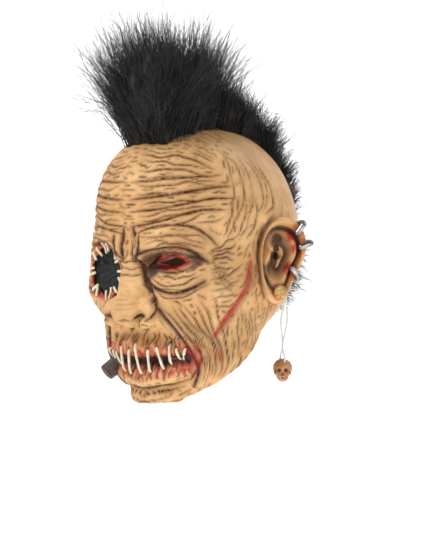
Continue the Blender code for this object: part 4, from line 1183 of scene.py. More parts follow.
def ear_relief(angle, ring):
    """The height of the ear's front over its plate, as a share: rim, ridges, hollows and lobe."""
    lobe = np.exp(-((angle - math.radians(275)) / 0.50) ** 2)
    rim = (0.95 - 0.50 * lobe) * ring_bump(ring, 0.90, 0.095)
    groove = -0.55 * (1 - lobe) * ring_bump(ring, 0.73, 0.065)
    ridge = 0.75 * sector(angle, 0.25, 1.35) * ring_bump(ring, 0.54, 0.085)
    fossa = -0.75 * sector(angle, 1.75, 0.42) * ring_bump(ring, 0.50, 0.13)
    bowl = -1.05 * ring_bump(ring, 0.0, 0.33)
    crus = 0.50 * sector(angle, 2.45, 0.30) * ring_bump(ring, 0.30, 0.16)
    tragus = 0.95 * sector(angle, math.pi, 0.45) * ring_bump(ring, 0.52, 0.14)
    notch = -0.45 * sector(angle, 4.15, 0.28) * ring_bump(ring, 0.50, 0.12)
    swell = 0.35 * lobe * ring_bump(ring, 0.72, 0.20)
    return rim + groove + ridge + fossa + bowl + crus + tragus + notch + swell


def ear_shade(points):
    """Painted shade: brown in the bowl, in the groove inside the rim, in the hollow above the bowl and at
    the front of the ear's root.
    """
    shade = np.zeros(len(points))
    for sign in (1, -1):
        angle, ring, height = ear_place(points, sign)
        on_front = (height > -0.25 * EAR_THICKNESS - 0.004) & (ring < 0.99)
        sunk = -ear_relief(angle, np.clip(ring, 0, 1))
        root = fade(np.abs(ring - 1.0), 0.02, 0.09) * smooth_step((-np.cos(angle) - 0.1) / 0.4)
        depth = np.clip((sunk + 0.10) / 0.55, 0, 1)
        shade = np.maximum(shade, np.maximum(on_front * depth, 0.85 * root * (np.abs(height) < 0.012)))
    return shade


# Fur
STRAND_SIDES = 3
STRAND_WIDTH = 0.00036


def strands(name, lines, material):
    """Tapered hairs as one mesh, along lines given as an array of hair, place and coordinate."""
    count, parts, _ = lines.shape
    along = lines[:, -1] - lines[:, 0]
    side = np.cross(along, RANDOM.normal(size=(count, 3)))
    side /= np.linalg.norm(side, axis=1)[:, None]
    other = np.cross(along, side)
    other /= np.linalg.norm(other, axis=1)[:, None]
    rings = []
    for part in range(parts - 1):
        thick = STRAND_WIDTH * (1 - 0.7 * part / (parts - 1))
        for angle in circle_turns(STRAND_SIDES):
            rings.append(lines[:, part] + (side * math.cos(angle) + other * math.sin(angle)) * thick)
    rings.append(lines[:, -1])
    per = len(rings)
    points = np.stack(rings, axis=1).reshape(-1, 3) - CROWN
    quads, tips = [], []
    for part in range(parts - 2):
        for k in range(STRAND_SIDES):
            m = (k + 1) % STRAND_SIDES
            a, b = part * STRAND_SIDES, (part + 1) * STRAND_SIDES
            quads.append([a + k, a + m, b + m, b + k])
    last = (parts - 2) * STRAND_SIDES
    for k in range(STRAND_SIDES):
        tips.append([last + k, last + (k + 1) % STRAND_SIDES, per - 1])
    base = np.arange(count)[:, None, None] * per
    quads = (np.array(quads)[None] + base).reshape(-1, 4)
    tips = (np.array(tips)[None] + base).reshape(-1, 3)
    mesh = bpy.data.meshes.new(name)
    mesh.from_pydata(points.tolist(), [], quads.tolist() + tips.tolist())
    mesh.materials.append(material)
    mesh.shade_smooth()
    return placed(name, mesh)


# How far the hairs reach along the strip, as a share of the locks' length
HairRow = namedtuple("HairRow", "along reach lean")
HAIR_ROWS = [HairRow(0.00, 0.86, -18), HairRow(0.07, 1.04, -13), HairRow(0.12, 1.06, -7),
             HairRow(0.165, 0.84, -3), HairRow(0.205, 0.88, 5), HairRow(0.26, 0.70, 6),
             HairRow(0.36, 0.74, 2), HairRow(0.46, 0.82, 0), HairRow(0.60, 0.94, 0), HairRow(1.00, 1.00, 0)]


def fur_aim(along, across, wild=0.0):
    """Unit direction and length of the fur at each place on the strip."""
    marks = [row.along for row in FUR_ROWS]
    steps = [row.along for row in HAIR_ROWS]
    out = strip_direction(along, across)
    ahead = strip_direction(along - 0.01, across) - strip_direction(along + 0.01, across)
    ahead /= np.linalg.norm(ahead, axis=1)[:, None]
    lean = np.interp(along, marks, [row.lean for row in FUR_ROWS])
    lean = lean + np.interp(along, steps, [row.lean for row in HAIR_ROWS]) + 16 * wild * (along < 0.12)
    lean = np.radians(lean)
    front = np.clip((0.24 - along) / 0.10, 0, 1)
    lean = lean - math.radians(36) * front * np.abs(across) / FUR_STRIP_WIDTH
    length = FUR_LENGTH * np.interp(along, marks, [row.length for row in FUR_ROWS])
    length = length * np.interp(along, steps, [row.reach for row in HAIR_ROWS])
    aim = out * np.cos(lean)[:, None] + ahead * np.sin(lean)[:, None]
    aim[:, 0] += 0.10 * across / FUR_STRIP_WIDTH
    return aim / np.linalg.norm(aim, axis=1)[:, None], length


def within_limits(lines):
    """The hairs, shortened where they would reach too far past the box of the solids."""
    low, high = (np.array(corner) for corner in CAD_BOX)
    room = 0.02 * (high - low) + 0.009
    low, high = low - room + CROWN, high + room + CROWN
    roots = lines[:, :1]
    offset = lines - roots
    above = (high - roots) / np.maximum(offset, 1e-9)
    below = (low - roots) / np.minimum(offset, -1e-9)
    fit = np.minimum(1, np.minimum(above, below).min(axis=(1, 2)))
    return roots + offset * fit[:, None, None]


# Layers of hairs from the inside out. Reach is a share of the locks' length, wild hairs curl and stray more,
# and last is how far along the strip the layer ends.
FurLayer = namedtuple("FurLayer", "name hairs parts reach spread wild last")
FUR_LAYERS = [
    FurLayer("fur_under", 7200, 6, 0.82, 0.09, 0.0, 1.0),
    FurLayer("fur_middle", 7200, 6, 0.98, 0.11, 0.15, 1.0),
    FurLayer("fur_outer", 6000, 7, 1.02, 0.15, 0.35, 1.0),
    FurLayer("fur_wisps", 1100, 12, 1.10, 0.26, 1.0, 0.55),
]
FUR_TUFTS = 95


def fur_layer(layer, material):
    """One layer of the mohawk's hairs, in tufts that draw together towards their tips."""
    count, wild = layer.hairs, layer.wild
    tuft_along = RANDOM.uniform(0.0, layer.last, FUR_TUFTS)
    tuft_across = RANDOM.uniform(-0.5, 0.5, FUR_TUFTS) * FUR_STRIP_WIDTH
    tuft_turn = RANDOM.normal(0, 0.105, (FUR_TUFTS, 3))
    tuft_reach = RANDOM.uniform(0.84, 1.10, FUR_TUFTS)
    which = RANDOM.integers(0, FUR_TUFTS, count)
    along = np.clip(tuft_along[which] + RANDOM.normal(0, 0.022, count), 0.0, 1.0)
    across = tuft_across[which] * np.interp(along, [0, 0.1, 0.45, 0.7], [0.85, 1.25, 1.35, 1.0])
    across = across + RANDOM.normal(0, 0.0050, count)
    across = np.clip(across, -0.78 * FUR_STRIP_WIDTH, 0.78 * FUR_STRIP_WIDTH)
    roots = strip_point(along, across, np.full(count, -0.0002))
    centres = strip_point(tuft_along, tuft_across, np.zeros(FUR_TUFTS))[which]
    aim, length = fur_aim(along, across, wild)
    aims = aim + tuft_turn[which] + RANDOM.normal(0, layer.spread, (count, 3))
    aims /= np.linalg.norm(aims, axis=1)[:, None]
    lengths = length * layer.reach * tuft_reach[which] * RANDOM.uniform(0.70, 1.05, count)
    bend = RANDOM.normal(0, 0.8 * layer.spread + 0.02, (count, 3)) + tuft_turn[which]
    curl = RANDOM.normal(0, 0.03 + 0.35 * wild, (count, 3))
    waves = RANDOM.uniform(0, 2 * math.pi, count)
    swing = np.cross(aims, RANDOM.normal(size=(count, 3)))
    lines = []
    for share in np.linspace(0, 1, layer.parts):
        drawn = 0.55 * (centres - roots) * share
        wave = (0.021 + 0.045 * wild) * share ** 0.7 * np.sin(waves + (10 + 5 * wild) * share)
        bent = aims * share + bend * share ** 2 + curl * (share ** 3 - share ** 2)
        line = roots + drawn + lengths[:, None] * bent
        lines.append(line + swing * (lengths * wave)[:, None])
    lines = within_limits(np.stack(lines, axis=1))
    return on_body(strands(layer.name, lines, material), "mohawk")


# Stitches, jewellery and small pieces
def tube_mesh(name, line, radius, material, sides=8):
    """A round tube along a line, with rounded ends; radius is one value or one for each point."""
    line = np.asarray(line, float)
    radius = np.broadcast_to(radius, len(line))
    tangent = np.gradient(line, axis=0)
    tangent /= np.linalg.norm(tangent, axis=1)[:, None]
    side = unit(np.cross(tangent[0], UP + np.array([0.31, 0.17, 0.0])))
    turn = circle_turns(sides)
    points = [line[0] - tangent[0] * radius[0] * 0.6]
    for centre, forward, thick in zip(line, tangent, radius):
        side = unit(side - forward * (side @ forward))
        other = np.cross(forward, side)
        points.extend(centre + thick * (math.cos(t) * side + math.sin(t) * other) for t in turn)
    points.append(line[-1] + tangent[-1] * radius[-1] * 0.6)
    return new_piece(name, points, spindle_faces(len(line), sides), material)


def join_pieces(name, pieces):
    """Makes one object of several."""
    first = pieces[0]
    with bpy.context.temp_override(active_object=first, object=first, selected_objects=pieces,
                                   selected_editable_objects=pieces):
        bpy.ops.object.join()
    first.name = name
    return first


STITCH_WIDTH = 0.0025
EYE_STITCHES = 15
STITCH_ENDS = []
Stitch = namedtuple("Stitch", "turn top slant bottom")
# Mouth stitches: the turn and height of the upper end, then the lower end's further turn and its height
MOUTH_STITCHES = [Stitch(-33, -0.590, 0, -0.665), Stitch(-27, -0.600, 1, -0.690),
                  Stitch(-20, -0.605, 0, -0.703), Stitch(-11.5, -0.560, -2, -0.750),
                  Stitch(-4.0, -0.580, -3, -0.765), Stitch(0.6, -0.535, 2, -0.762),
                  Stitch(9.4, -0.580, -1, -0.750), Stitch(15.0, -0.565, 2.6, -0.725),
                  Stitch(22.2, -0.548, 0, -0.690), Stitch(26.4, -0.580, 1.6, -0.655),
                  Stitch(32.0, -0.578, -2, -0.655)]


def mouth_height(x):
    """The height of the mouth line at x, both as shares."""
    return np.interp(x, [p[0] for p in MOUTH_LINE.points], [p[1] for p in MOUTH_LINE.points])


def stitch_line(start, end, bulge, outward):
    """A cord that comes out of the skin at its start, bows outwards and goes in at its end."""
    share = np.linspace(0, 1, 15)
    bow = np.sin(math.pi * share) ** 0.45
    line = start + np.outer(share, end - start) + np.outer(bow * bulge, outward)
    dip = 0.0022 * (1 - np.clip(8 * np.minimum(share, 1 - share), 0, 1))
    return line - np.outer(dip, outward)


def mouth_stitches(ground, material):
    """Upright cords that close the lips."""
    made = []
    for number, stitch in enumerate(MOUTH_STITCHES):
        turns = [stitch.turn, stitch.turn + stitch.slant]
        start, end = ground.at(turns, [stitch.top, stitch.bottom])
        STITCH_ENDS.extend([start, end])
        outward = unit(direction(math.radians(stitch.turn), 0.0) + 0.15 * UP)
        lips = ground.at(np.full(9, stitch.turn), np.linspace(stitch.top, stitch.bottom, 9))
        share = np.linspace(0, 1, 9)[:, None]
        bulge = ((lips - start - share * (end - start)) @ outward).max() + 0.0006
        line = stitch_line(start, end, max(bulge, 0.0012), outward)
        swell = 1 + 0.10 * np.sin(np.linspace(0, 9, len(line)) + number)
        made.append(tube_mesh("stitch", line, STITCH_WIDTH / 2 * swell, material, sides=10))
    return on_body(join_pieces("mouth_stitches", made))


def eye_stitches(ground, material):
    """Short cords round the gouged eye, from the skin outside it to loose ends over the hole."""
    middle, axis, across, upward = GOUGE_AXES
    made = []
    for i in range(EYE_STITCHES):
        turn = 2 * math.pi * (i + 0.22 * math.sin(2.9 * i)) / EYE_STITCHES
        line = []
        for share in np.linspace(0, 1, 9):
            reach = 1.22 - (0.44 + 0.07 * math.sin(1.7 * i)) * share
            angle = turn + 0.13 * math.sin(2.3 * i) * share ** 2
            offset = across * GOUGED_EYE_WIDTH * math.cos(angle)
            offset = offset + upward * GOUGED_EYE_HEIGHT * math.sin(angle)
            place, _ = ground.hit(middle + offset * reach / 2 + 0.06 * axis, -axis)
            lift = 0.0012 - 0.0034 * max(0.0, 0.16 - share) / 0.16 - 0.0008 * share
            line.append(place + unit(axis + 0.4 * unit(offset)) * lift)
        STITCH_ENDS.append(line[0])
        made.append(tube_mesh("stitch", line, STITCH_WIDTH / 2, material, sides=10))
    return on_body(join_pieces("eye_stitches", made))


def lid_rims(ground, material):
    """The red wet edges of the left eye's lids."""
    middle, axis, across, upward = SLIT_AXES
    outline = almond(1.06 * EYE_SLIT_WIDTH, 1.22 * EYE_SLIT_HEIGHT, 17)
    line = []
    for a, u in outline:
        place, _ = ground.hit(middle + across * a + upward * u + 0.04 * axis, -axis)
        line.append(place - 0.0004 * axis)
    line = smooth_line(line + line[:2], 90)
    return on_body(tube_mesh("lid_rims", line, 0.0011, material))


def face_axes(place):
    """A place of the face, the level axis out of it, and the directions across and up."""
    middle, normal = face_place(place)
    axis = level_axis(normal)
    across, upward = frame_along(axis)
    return middle, axis, across, upward


GOUGE_AXES = face_axes(GOUGED_EYE_PLACE)
SLIT_AXES = face_axes(EYE_SLIT_PLACE)


def ear_cuffs(material):
    """Thick silver staples over the ear's rim, waisted a little at their ends."""
    for number, angle_deg in enumerate(CUFF_ANGLES_DEG, 1):
        line = smooth_line(cuff_line(angle_deg), 40)
        share = np.linspace(-1, 1, len(line))
        radius = CUFF_WIRE / 2 * (1 - 0.14 * np.abs(share) ** 6)
        piece = tube_mesh(f"cuff_{number}", line, radius, material, sides=20)
        on_body(piece, f"ear_cuff_{number}")


def plug_nugget(material):
    """A rough golden nugget on the lobe, with its post and foot behind."""
    front, back, axis = plug_place()
    across, upward = frame_along(axis)
    thickness = (front - back) @ axis
    proud = 2.5 * GAP + 0.0012
    radius, post = PLUG_DIAMETER / 2, PLUG_POST_DIAMETER / 2
    profile = [(0.0, -thickness - proud - 0.0016), (0.75 * radius, -thickness - proud - 0.0016),
               (0.75 * radius, -thickness - proud), (post, -thickness - proud), (post, proud)]
    profile += [(radius * r, proud + PLUG_HEAD * h) for r, h in
                ((0.70, 0.02), (0.90, 0.10), (0.99, 0.28), (1.0, 0.45), (0.93, 0.66), (0.78, 0.84),
                 (0.55, 0.97),
                 (0.28, 1.05), (0.0, 1.07))]
    piece = turned("nugget", front, axis, across, upward, profile, 40, material)
    for vertex in piece.data.vertices:
        place = np.array(vertex.co)
        if (place + CROWN - front) @ axis > proud + 0.05 * PLUG_HEAD:
            wave = math.sin(place[0] * 1700 + place[2] * 900) * math.sin(place[1] * 1500 - place[2] * 1100)
            vertex.co = place + axis * 0.00045 * wave
    return on_body(piece, "lobe_plug")


def turned(name, middle, axis, across, upward, profile, count, material):
    """A solid of revolution from (radius, height) pairs, whose first and last radius are zero."""
    angles = circle_turns(count)
    points = [middle + axis * profile[0][1]]
    for radius, height in profile[1:-1]:
        ring = np.outer(np.cos(angles), across) + np.outer(np.sin(angles), upward)
        points.extend(middle + axis * height + ring * radius)
    points.append(middle + axis * profile[-1][1])
    return new_piece(name, points, spindle_faces(len(profile) - 2, count), material)


def cigar_piece(material):
    """The stub, lumpy and leaf-wrapped, with a burnt end and a dull red ring."""
    point, _ = face_place(CIGAR_PLACE)
    axis = unit(CIGAR_AIM)
    across, upward = frame_along(axis)
    radius = CIGAR_DIAMETER / 2
    heights = np.linspace(-CIGAR_IN, 0.93 * CIGAR_OUT, 26)
    profile = [(0.0, -CIGAR_IN)]
    profile += [(0.965 * radius * (1 - 0.06 * max(0, h / CIGAR_OUT) ** 3), h) for h in heights]
    profile += [(0.84 * radius, 0.975 * CIGAR_OUT), (0.66 * radius, CIGAR_OUT),
                (0.4 * radius, 0.985 * CIGAR_OUT),
                (0.0, 0.97 * CIGAR_OUT)]
    piece = turned("cigar", point, axis, across, upward, profile, 36, material)
    offset = mesh_points(piece) + CROWN - point
    height = offset @ axis
    spiral = np.arctan2(offset @ upward, offset @ across) + height * 330
    radial = offset - np.outer(height, axis)
    lumps = 1 + 0.014 * np.sin(spiral) + 0.012 * np.sin(3 * spiral + height * 500) - 0.010
    moved = mesh_points(piece) + radial * np.minimum(lumps - 1, 0.012)[:, None] * (height > 0.001)[:, None]
    piece.data.vertices.foreach_set("co", moved.ravel())
    set_attribute(piece, "burnt", smooth_step((height - 0.86 * CIGAR_OUT) / (0.10 * CIGAR_OUT)))
    ring = np.linalg.norm(radial, axis=1) / radius
    set_attribute(piece, "ember", fade(np.abs(ring - 0.80), 0.05, 0.16) * (height > 0.93 * CIGAR_OUT) * 0.6)
    return on_body(piece, "cigar_stub")


def gauze_piece(material):
    """Black see-through mesh drawn loosely across the gouged eye."""
    point, normal = face_place(GOUGED_EYE_PLACE)
    axis = level_axis(normal)
    across, upward = frame_along(axis)
    rings, spokes = 24, 72
    wide = np.array([GOUGED_EYE_WIDTH, GOUGED_EYE_HEIGHT]) / 2 + GAUZE_OVERLAP
    angles = circle_turns(spokes)
    layers = []
    for depth in (WALL + GAUZE_SEAT, WALL + GAUZE_SEAT + GAUZE_THICKNESS):
        targets = [point]
        for i in range(1, rings + 1):
            offset = np.outer(np.cos(angles) * wide[0], across) + np.outer(np.sin(angles) * wide[1], upward)
            targets.extend(point + offset * i / rings)
        targets = np.array(targets)
        rays = np.array([unit(t - RAY_CENTRE) for t in targets])
        reach = cast(head_field, RAY_CENTRE, rays, -depth)
        crumple = np.sin(targets[:, 0] * 520 + 3 * np.sin(targets[:, 2] * 260))
        crumple = crumple * np.sin(targets[:, 2] * 430 + 1)
        share = np.minimum(1, np.linalg.norm(targets - point, axis=1) / wide.min())
        reach = reach - 0.0016 * (1 - share ** 4) * (1.0 + crumple)
        layers.append(RAY_CENTRE + rays * reach[:, None])
    count = len(layers[0])
    faces = [(0, 1 + (j + 1) % spokes, 1 + j) for j in range(spokes)] + grid_faces(rings, spokes, 1)
    faces += [tuple(count + v for v in f[::-1]) for f in faces]
    first = 1 + (rings - 1) * spokes
    for j in range(spokes):
        a, b = first + j, first + (j + 1) % spokes
        faces.append((a, b, count + b, count + a))
    return on_body(new_piece("gauze", np.vstack(layers), faces, material), "eye_gauze")


def skull_piece(material):
    """The carved bead, with brown in its hollows and a hole for the cord."""
    _, middle, side, _, _ = pendant_places()
    columns, rows = 110, 80
    turns = circle_turns(columns)
    rises = np.radians(np.linspace(-90, 90, rows + 2)[1:-1])
    rays = direction(*np.meshgrid(turns, rises)).reshape(-1, 3)
    rays = np.vstack([rays, -UP, UP])
    reach = cast(fine_skull_field, np.zeros(3), rays, start=1.2 * SKULL_WIDTH)
    local = rays * reach[:, None]
    turn = math.radians(SKULL_TURN_DEG)
    spin = np.array([[math.cos(turn), -math.sin(turn), 0], [math.sin(turn), math.cos(turn), 0], [0, 0, 1]])
    centre = middle - UP * SKULL_HOLE_RISE * SKULL_HEIGHT
    faces = grid_faces(rows, columns)
    faces += [f[::-1] for f in fan_faces(0, columns, rows * columns)]
    faces += fan_faces((rows - 1) * columns, columns, rows * columns + 1)
    piece = new_piece("skull", centre + local @ spin.T, faces, material)
    radius = CORD_DIAMETER / 2 + 2 * GAP
    cut(piece, middle, side, circle(radius, radius, 20), SKULL_WIDTH, SKULL_WIDTH)
    local = (mesh_points(piece) + CROWN - centre) @ spin
    smooth = skull_blobs(local)
    set_attribute(piece, "hollow", fade(smooth, -0.0010, -0.0001))
    piece.data.shade_smooth()
    return on_body(piece, "skull_bead")


def fine_skull_field(points):
    """The bead with its eyes, nose, mouth and a row of teeth."""
    field = skull_field(points)
    half = SKULL_WIDTH / 2
    x, y, z = points[:, 0] / half, points[:, 1] / half, points[:, 2] / (SKULL_HEIGHT / 2)
    front = smooth_step((-y - 0.35) / 0.3)
    teeth = np.abs(np.sin(x * 11)) ** 0.4
    row = fade(np.abs(z + 0.68), 0.10, 0.17)
    return field + front * row * (1 - teeth) * 0.0007


def cuff_line(angle_deg):
    """The middle line of a cuff: one leg in front of the ear's rim and one behind."""
    angle = math.radians(angle_deg)
    angles = np.array([angle])
    _, backward, upward, outward = ear_axes(1)
    rim = ear_point(1, angles, np.array([1.0]))[0]
    radial = unit(math.cos(angle) * backward + math.sin(angle) * upward)
    reach = ear_reach(angles)[0] * np.linalg.norm(math.cos(angle) * backward + math.sin(angle) * upward)
    clear = CUFF_WIRE / 2 + 2 * GAP
    rings = np.linspace(1 - CUFF_LEG * 1.15 / reach, 1.0, 8)
    around = [angle + turn for turn in (-0.10, 0.0, 0.10)]
    front_points = np.vstack([ear_point(1, np.full(8, a), rings) for a in around])
    back_points = np.vstack([ear_point(1, np.full(8, a), rings, behind=True) for a in around])
    front_height = ((front_points - rim) @ outward).max() + clear
    back_height = ((back_points - rim) @ outward).min() - clear
    bend = (front_height - back_height) / 2
    middle = rim + outward * (front_height + back_height) / 2
    out = clear - 0.35 * bend
    line = [middle + outward * bend - radial * CUFF_LEG]
    for k in range(9):
        turn = math.pi / 2 - math.pi * k / 8
        line.append(middle + radial * (out + 0.35 * bend * math.cos(turn)) + outward * bend * math.sin(turn))
    line.append(middle - outward * bend - radial * CUFF_LEG)
    return line


def cord_knots(ends, low, side, forward, outward):
    """The places that the cord runs through."""
    half = 0.70 * SKULL_WIDTH / 2
    strands = []
    for end, sign in zip(ends, (1, -1)):
        start = end - outward * GAP / 2
        cross = forward * CORD_SPREAD * sign
        strands.append([start, start - outward * 0.8 * CORD_BEHIND,
                        start - outward * CORD_BEHIND - UP * 0.012
                        - forward * 0.0025, low + UP * 0.55 * CORD_DROP - cross - forward * 0.0015,
                        low + UP * 0.22 * CORD_DROP + 0.3 * cross + side * sign * 0.45 * half,
                        low + UP * 0.06 * CORD_DROP + side * sign * (half + CORD_DIAMETER) + 0.2 * cross,
                        low + side * sign * half, low + side * sign * half * 0.4])
    return strands[0] + strands[1][::-1]


# Families of creases between a first and a last line. Each place is a turn round the head from the face, in
# degrees, and a height as a share of the half height; width and depth are shares of a plain crease.
CREASE_WIDTH = 0.0009
CREASE_DEPTH = 0.00125
DEEPEST_CREASE = 0.78
Family = namedtuple("Family", "name sides count width depth first last")
FAMILIES = [
    Family("forehead", BOTH, 10, 1.5, 0.95,
           [(1, 0.78), (15, 0.76), (32, 0.74), (52, 0.66)],
           [(2, 0.24), (18, 0.25), (36, 0.31), (54, 0.38)]),
    Family("brow arcs", BOTH, 4, 1.3, 0.85,
           [(4, 0.16), (17, 0.20), (32, 0.21), (44, 0.167), (52, 0.065)],
           [(10, 0.109), (20, 0.131), (31, 0.131), (40, 0.087), (43, 0.022)]),
    Family("frown", BOTH, 2, 1.5, 1.1,
           [(4, 0.21), (3, 0.123), (4, 0.03)],
           [(10, 0.20), (9, 0.12), (7, 0.05)]),
    Family("bridge", MIDDLE, 3, 1.2, 0.9,
           [(-11, 0.04), (0, 0.022), (11, 0.04)],
           [(-11, -0.06), (0, -0.073), (11, -0.06)]),
    Family("crow's feet", BOTH, 8, 1.2, 0.9,
           [(43, 0.065), (54, 0.138), (68, 0.21)],
           [(44, -0.036), (53, -0.123), (63, -0.225)]),
    Family("bag arcs", BOTH, 4, 1.2, 1.0,
           [(12, -0.051), (26, -0.094), (37, -0.058), (44, 0.007)],
           [(9, -0.087), (17, -0.181), (28, -0.225), (41, -0.167), (48, -0.058)]),
    Family("cheek folds", BOTH, 6, 1.5, 1.1,
           [(17, -0.225), (26, -0.384), (39, -0.58), (45, -0.732), (41, -0.87)],
           [(43, -0.167), (52, -0.341), (60, -0.544), (60, -0.703), (54, -0.834)]),
    Family("cheek arcs", BOTH, 4, 1.2, 0.8,
           [(43, -0.109), (55, -0.08), (70, 0.007)],
           [(47, -0.283), (60, -0.276), (74, -0.239)]),
    Family("jaw lines", BOTH, 7, 1.1, 0.7,
           [(61, -0.341), (64, -0.544), (61, -0.747)],
           [(93, -0.181), (106, -0.399), (98, -0.55)]),
    Family("upper lip", BOTH, 10, 1.1, 1.2, [(1, -0.45), (1, -0.61)], [(33, -0.46), (32, -0.60)]),
    Family("lower lip", BOTH, 9, 1.1, 1.2, [(1, -0.73), (1, -0.82)], [(34, -0.69), (35, -0.79)]),
    Family("under the lip", MIDDLE, 2, 1.8, 1.4,
           [(-36, -0.79), (-18, -0.83), (0, -0.863), (18, -0.83), (36, -0.79)],
           [(-31, -0.841), (-16, -0.87), (0, -0.899), (16, -0.87), (31, -0.841)]),
    Family("chin", MIDDLE, 2, 1.4, 0.9,
           [(-20, -0.92), (0, -0.95), (20, -0.92)],
           [(-12, -0.97), (0, -0.98), (12, -0.97)]),
    Family("temple", BOTH, 5, 1.3, 0.7,
           [(54, 0.181), (58, 0.363), (60, 0.544)],
           [(72, 0.109), (77, 0.29), (78, 0.5)]),
    Family("scalp", BOTH, 6, 1.3, 0.65,
           [(49, 0.218), (57, 0.363), (60, 0.544), (57, 0.725), (44, 0.848)],
           [(84, 0.34), (95, 0.45), (94, 0.62), (82, 0.78)]),
    Family("behind the ear", BOTH, 6, 1.2, 0.7,
           [(112, 0.55), (118, 0.2), (116, -0.15), (112, -0.40)],
           [(150, 0.45), (156, 0.15), (154, -0.12), (150, -0.32)]),
    Family("nape", MIDDLE, 4, 1.4, 0.8,
           [(140, -0.16), (160, -0.19), (180, -0.20), (200, -0.19), (220, -0.16)],
           [(135, -0.34), (158, -0.36), (180, -0.37), (202, -0.36), (225, -0.34)]),
]
# Single deep creases, which part the main forms of the face: width and depth are shares of a plain crease
MAIN_CREASES = [
    Family("nose fold", BOTH, 1, 3.0, 2.6,
           [(9, -0.08), (13, -0.17), (17, -0.27), (22, -0.38), (28, -0.48), (36, -0.62), (40, -0.73),
            (36, -0.85)],
           None),
    Family("brow crease", LEFT, 1, 2.6, 2.1,
           [(4, 0.02), (6, 0.06), (12, 0.085), (21, 0.11), (30, 0.11), (37, 0.08), (45, 0.02)],
           None),
    Family("brow crease over the gouge", RIGHT, 1, 2.2, 1.6,
           [(4, 0.04), (10, 0.10), (20, 0.15), (34, 0.15)],
           None),
    Family("bag crease", BOTH, 1, 2.6, 2.2,
           [(7, 0.02), (8, -0.03), (10, -0.09), (15, -0.155), (26, -0.197), (36, -0.167), (43, -0.115)],
           None),
    Family("nostril", BOTH, 1, 3.4, 2.6, [(3, -0.425), (6, -0.385), (9.5, -0.352), (12.5, -0.352)], None),
    Family("inner corner", LEFT, 1, 3.0, 2.2, [(5, 0.06), (6.5, 0.0), (9, -0.10), (12, -0.19)], None),
    Family("frown", BOTH, 1, 2.0, 1.9, [(3.5, 0.25), (4, 0.14), (3, 0.04)], None),
    Family("frown beside", BOTH, 1, 1.7, 1.5, [(8.5, 0.20), (9, 0.12), (6, 0.06)], None),
    Family("brow top", BOTH, 1, 2.0, 1.5,
           [(1, 0.20), (11, 0.24), (23, 0.27), (36, 0.26), (46, 0.19), (54, 0.09)],
           None),
    Family("nostril wing", BOTH, 1, 2.2, 2.2,
           [(8, -0.13), (14, -0.20), (17.5, -0.28), (16.5, -0.355), (12, -0.395)],
           None),
    Family("low forehead", BOTH, 1, 1.9, 1.5,
           [(0, 0.26), (12, 0.28), (26, 0.32), (40, 0.37), (56, 0.385)],
           None),
    Family("forehead", BOTH, 1, 1.9, 1.4,
           [(0, 0.36), (16, 0.375), (30, 0.41), (46, 0.45), (62, 0.46)],
           None),
    Family("middle forehead", BOTH, 1, 1.9, 1.4,
           [(0, 0.445), (18, 0.47), (34, 0.50), (49, 0.53), (60, 0.545)],
           None),
    Family("high forehead", BOTH, 1, 1.7, 1.2, [(0, 0.57), (18, 0.585), (36, 0.60), (54, 0.62)], None),
    Family("mouth corner", BOTH, 1, 2.0, 1.8, [(37, -0.50), (41, -0.60), (40, -0.70), (34, -0.80)], None),
    Family("ear front", BOTH, 1, 2.6, 1.5,
           [(84, 0.30), (83.5, 0.15), (84, 0.02), (87, -0.11), (92, -0.25)],
           None),
]
# How many of the main creases, from the first, also get painted shade along their deep folds
DARK_CREASES = 13
SCAR = Family("scar", LEFT, 1, 3.5, 2.4, [(77, 0.03), (73, -0.145), (64, -0.29), (51, -0.49)], None)


def evenly(line, count):
    """The places of a table's line, spread evenly over a smooth curve."""
    flat = np.array([(t, 60 * h, 0.0) for t, h in line])
    places = smooth_line(flat, count)
    return places[:, 0], places[:, 1] / 60


def lay_family(ground, creases, family, wander=0.85):
    """Draws a family's lines from its first to its last, each one wavering and broken here and there."""
    first = evenly(family.first, 32)
    last = evenly(family.last or family.first, 32)
    single = family.count == 1 or family.sides == MIDDLE
    for sign in mirrored_sides(family.sides):
        for i in range(family.count):
            share = i / max(1, family.count - 1)
            if family.count > 2:
                share = np.clip(share + RANDOM.normal(0, 0.16 / family.count), 0, 1)
            turns = sign * ((1 - share) * first[0] + share * last[0])
            heights = (1 - share) * first[1] + share * last[1]
            along = np.linspace(0, 1, 32)
            wave = RANDOM.uniform(0, 6.3, 4)
            size = 0.5 * wander if single else wander
            sway = 0.011 * np.sin(9 * along + wave[0]) + 0.006 * np.sin(21 * along + wave[1])
            heights = heights + size * sway
            sway = 0.9 * np.sin(8 * along + wave[2]) + 0.5 * np.sin(19 * along + wave[3])
            turns = turns + size * sway
            start, end = (0.0, 1.0) if single else (RANDOM.uniform(0, 0.14), RANDOM.uniform(0.84, 1.0))
            kept = (along >= start) & (along <= end)
            width = family.width * CREASE_WIDTH * RANDOM.uniform(0.8, 1.2)
            depth = family.depth * CREASE_DEPTH * RANDOM.uniform(0.75, 1.15)
            creases.add(ground.at(turns[kept], heights[kept]), width, depth)


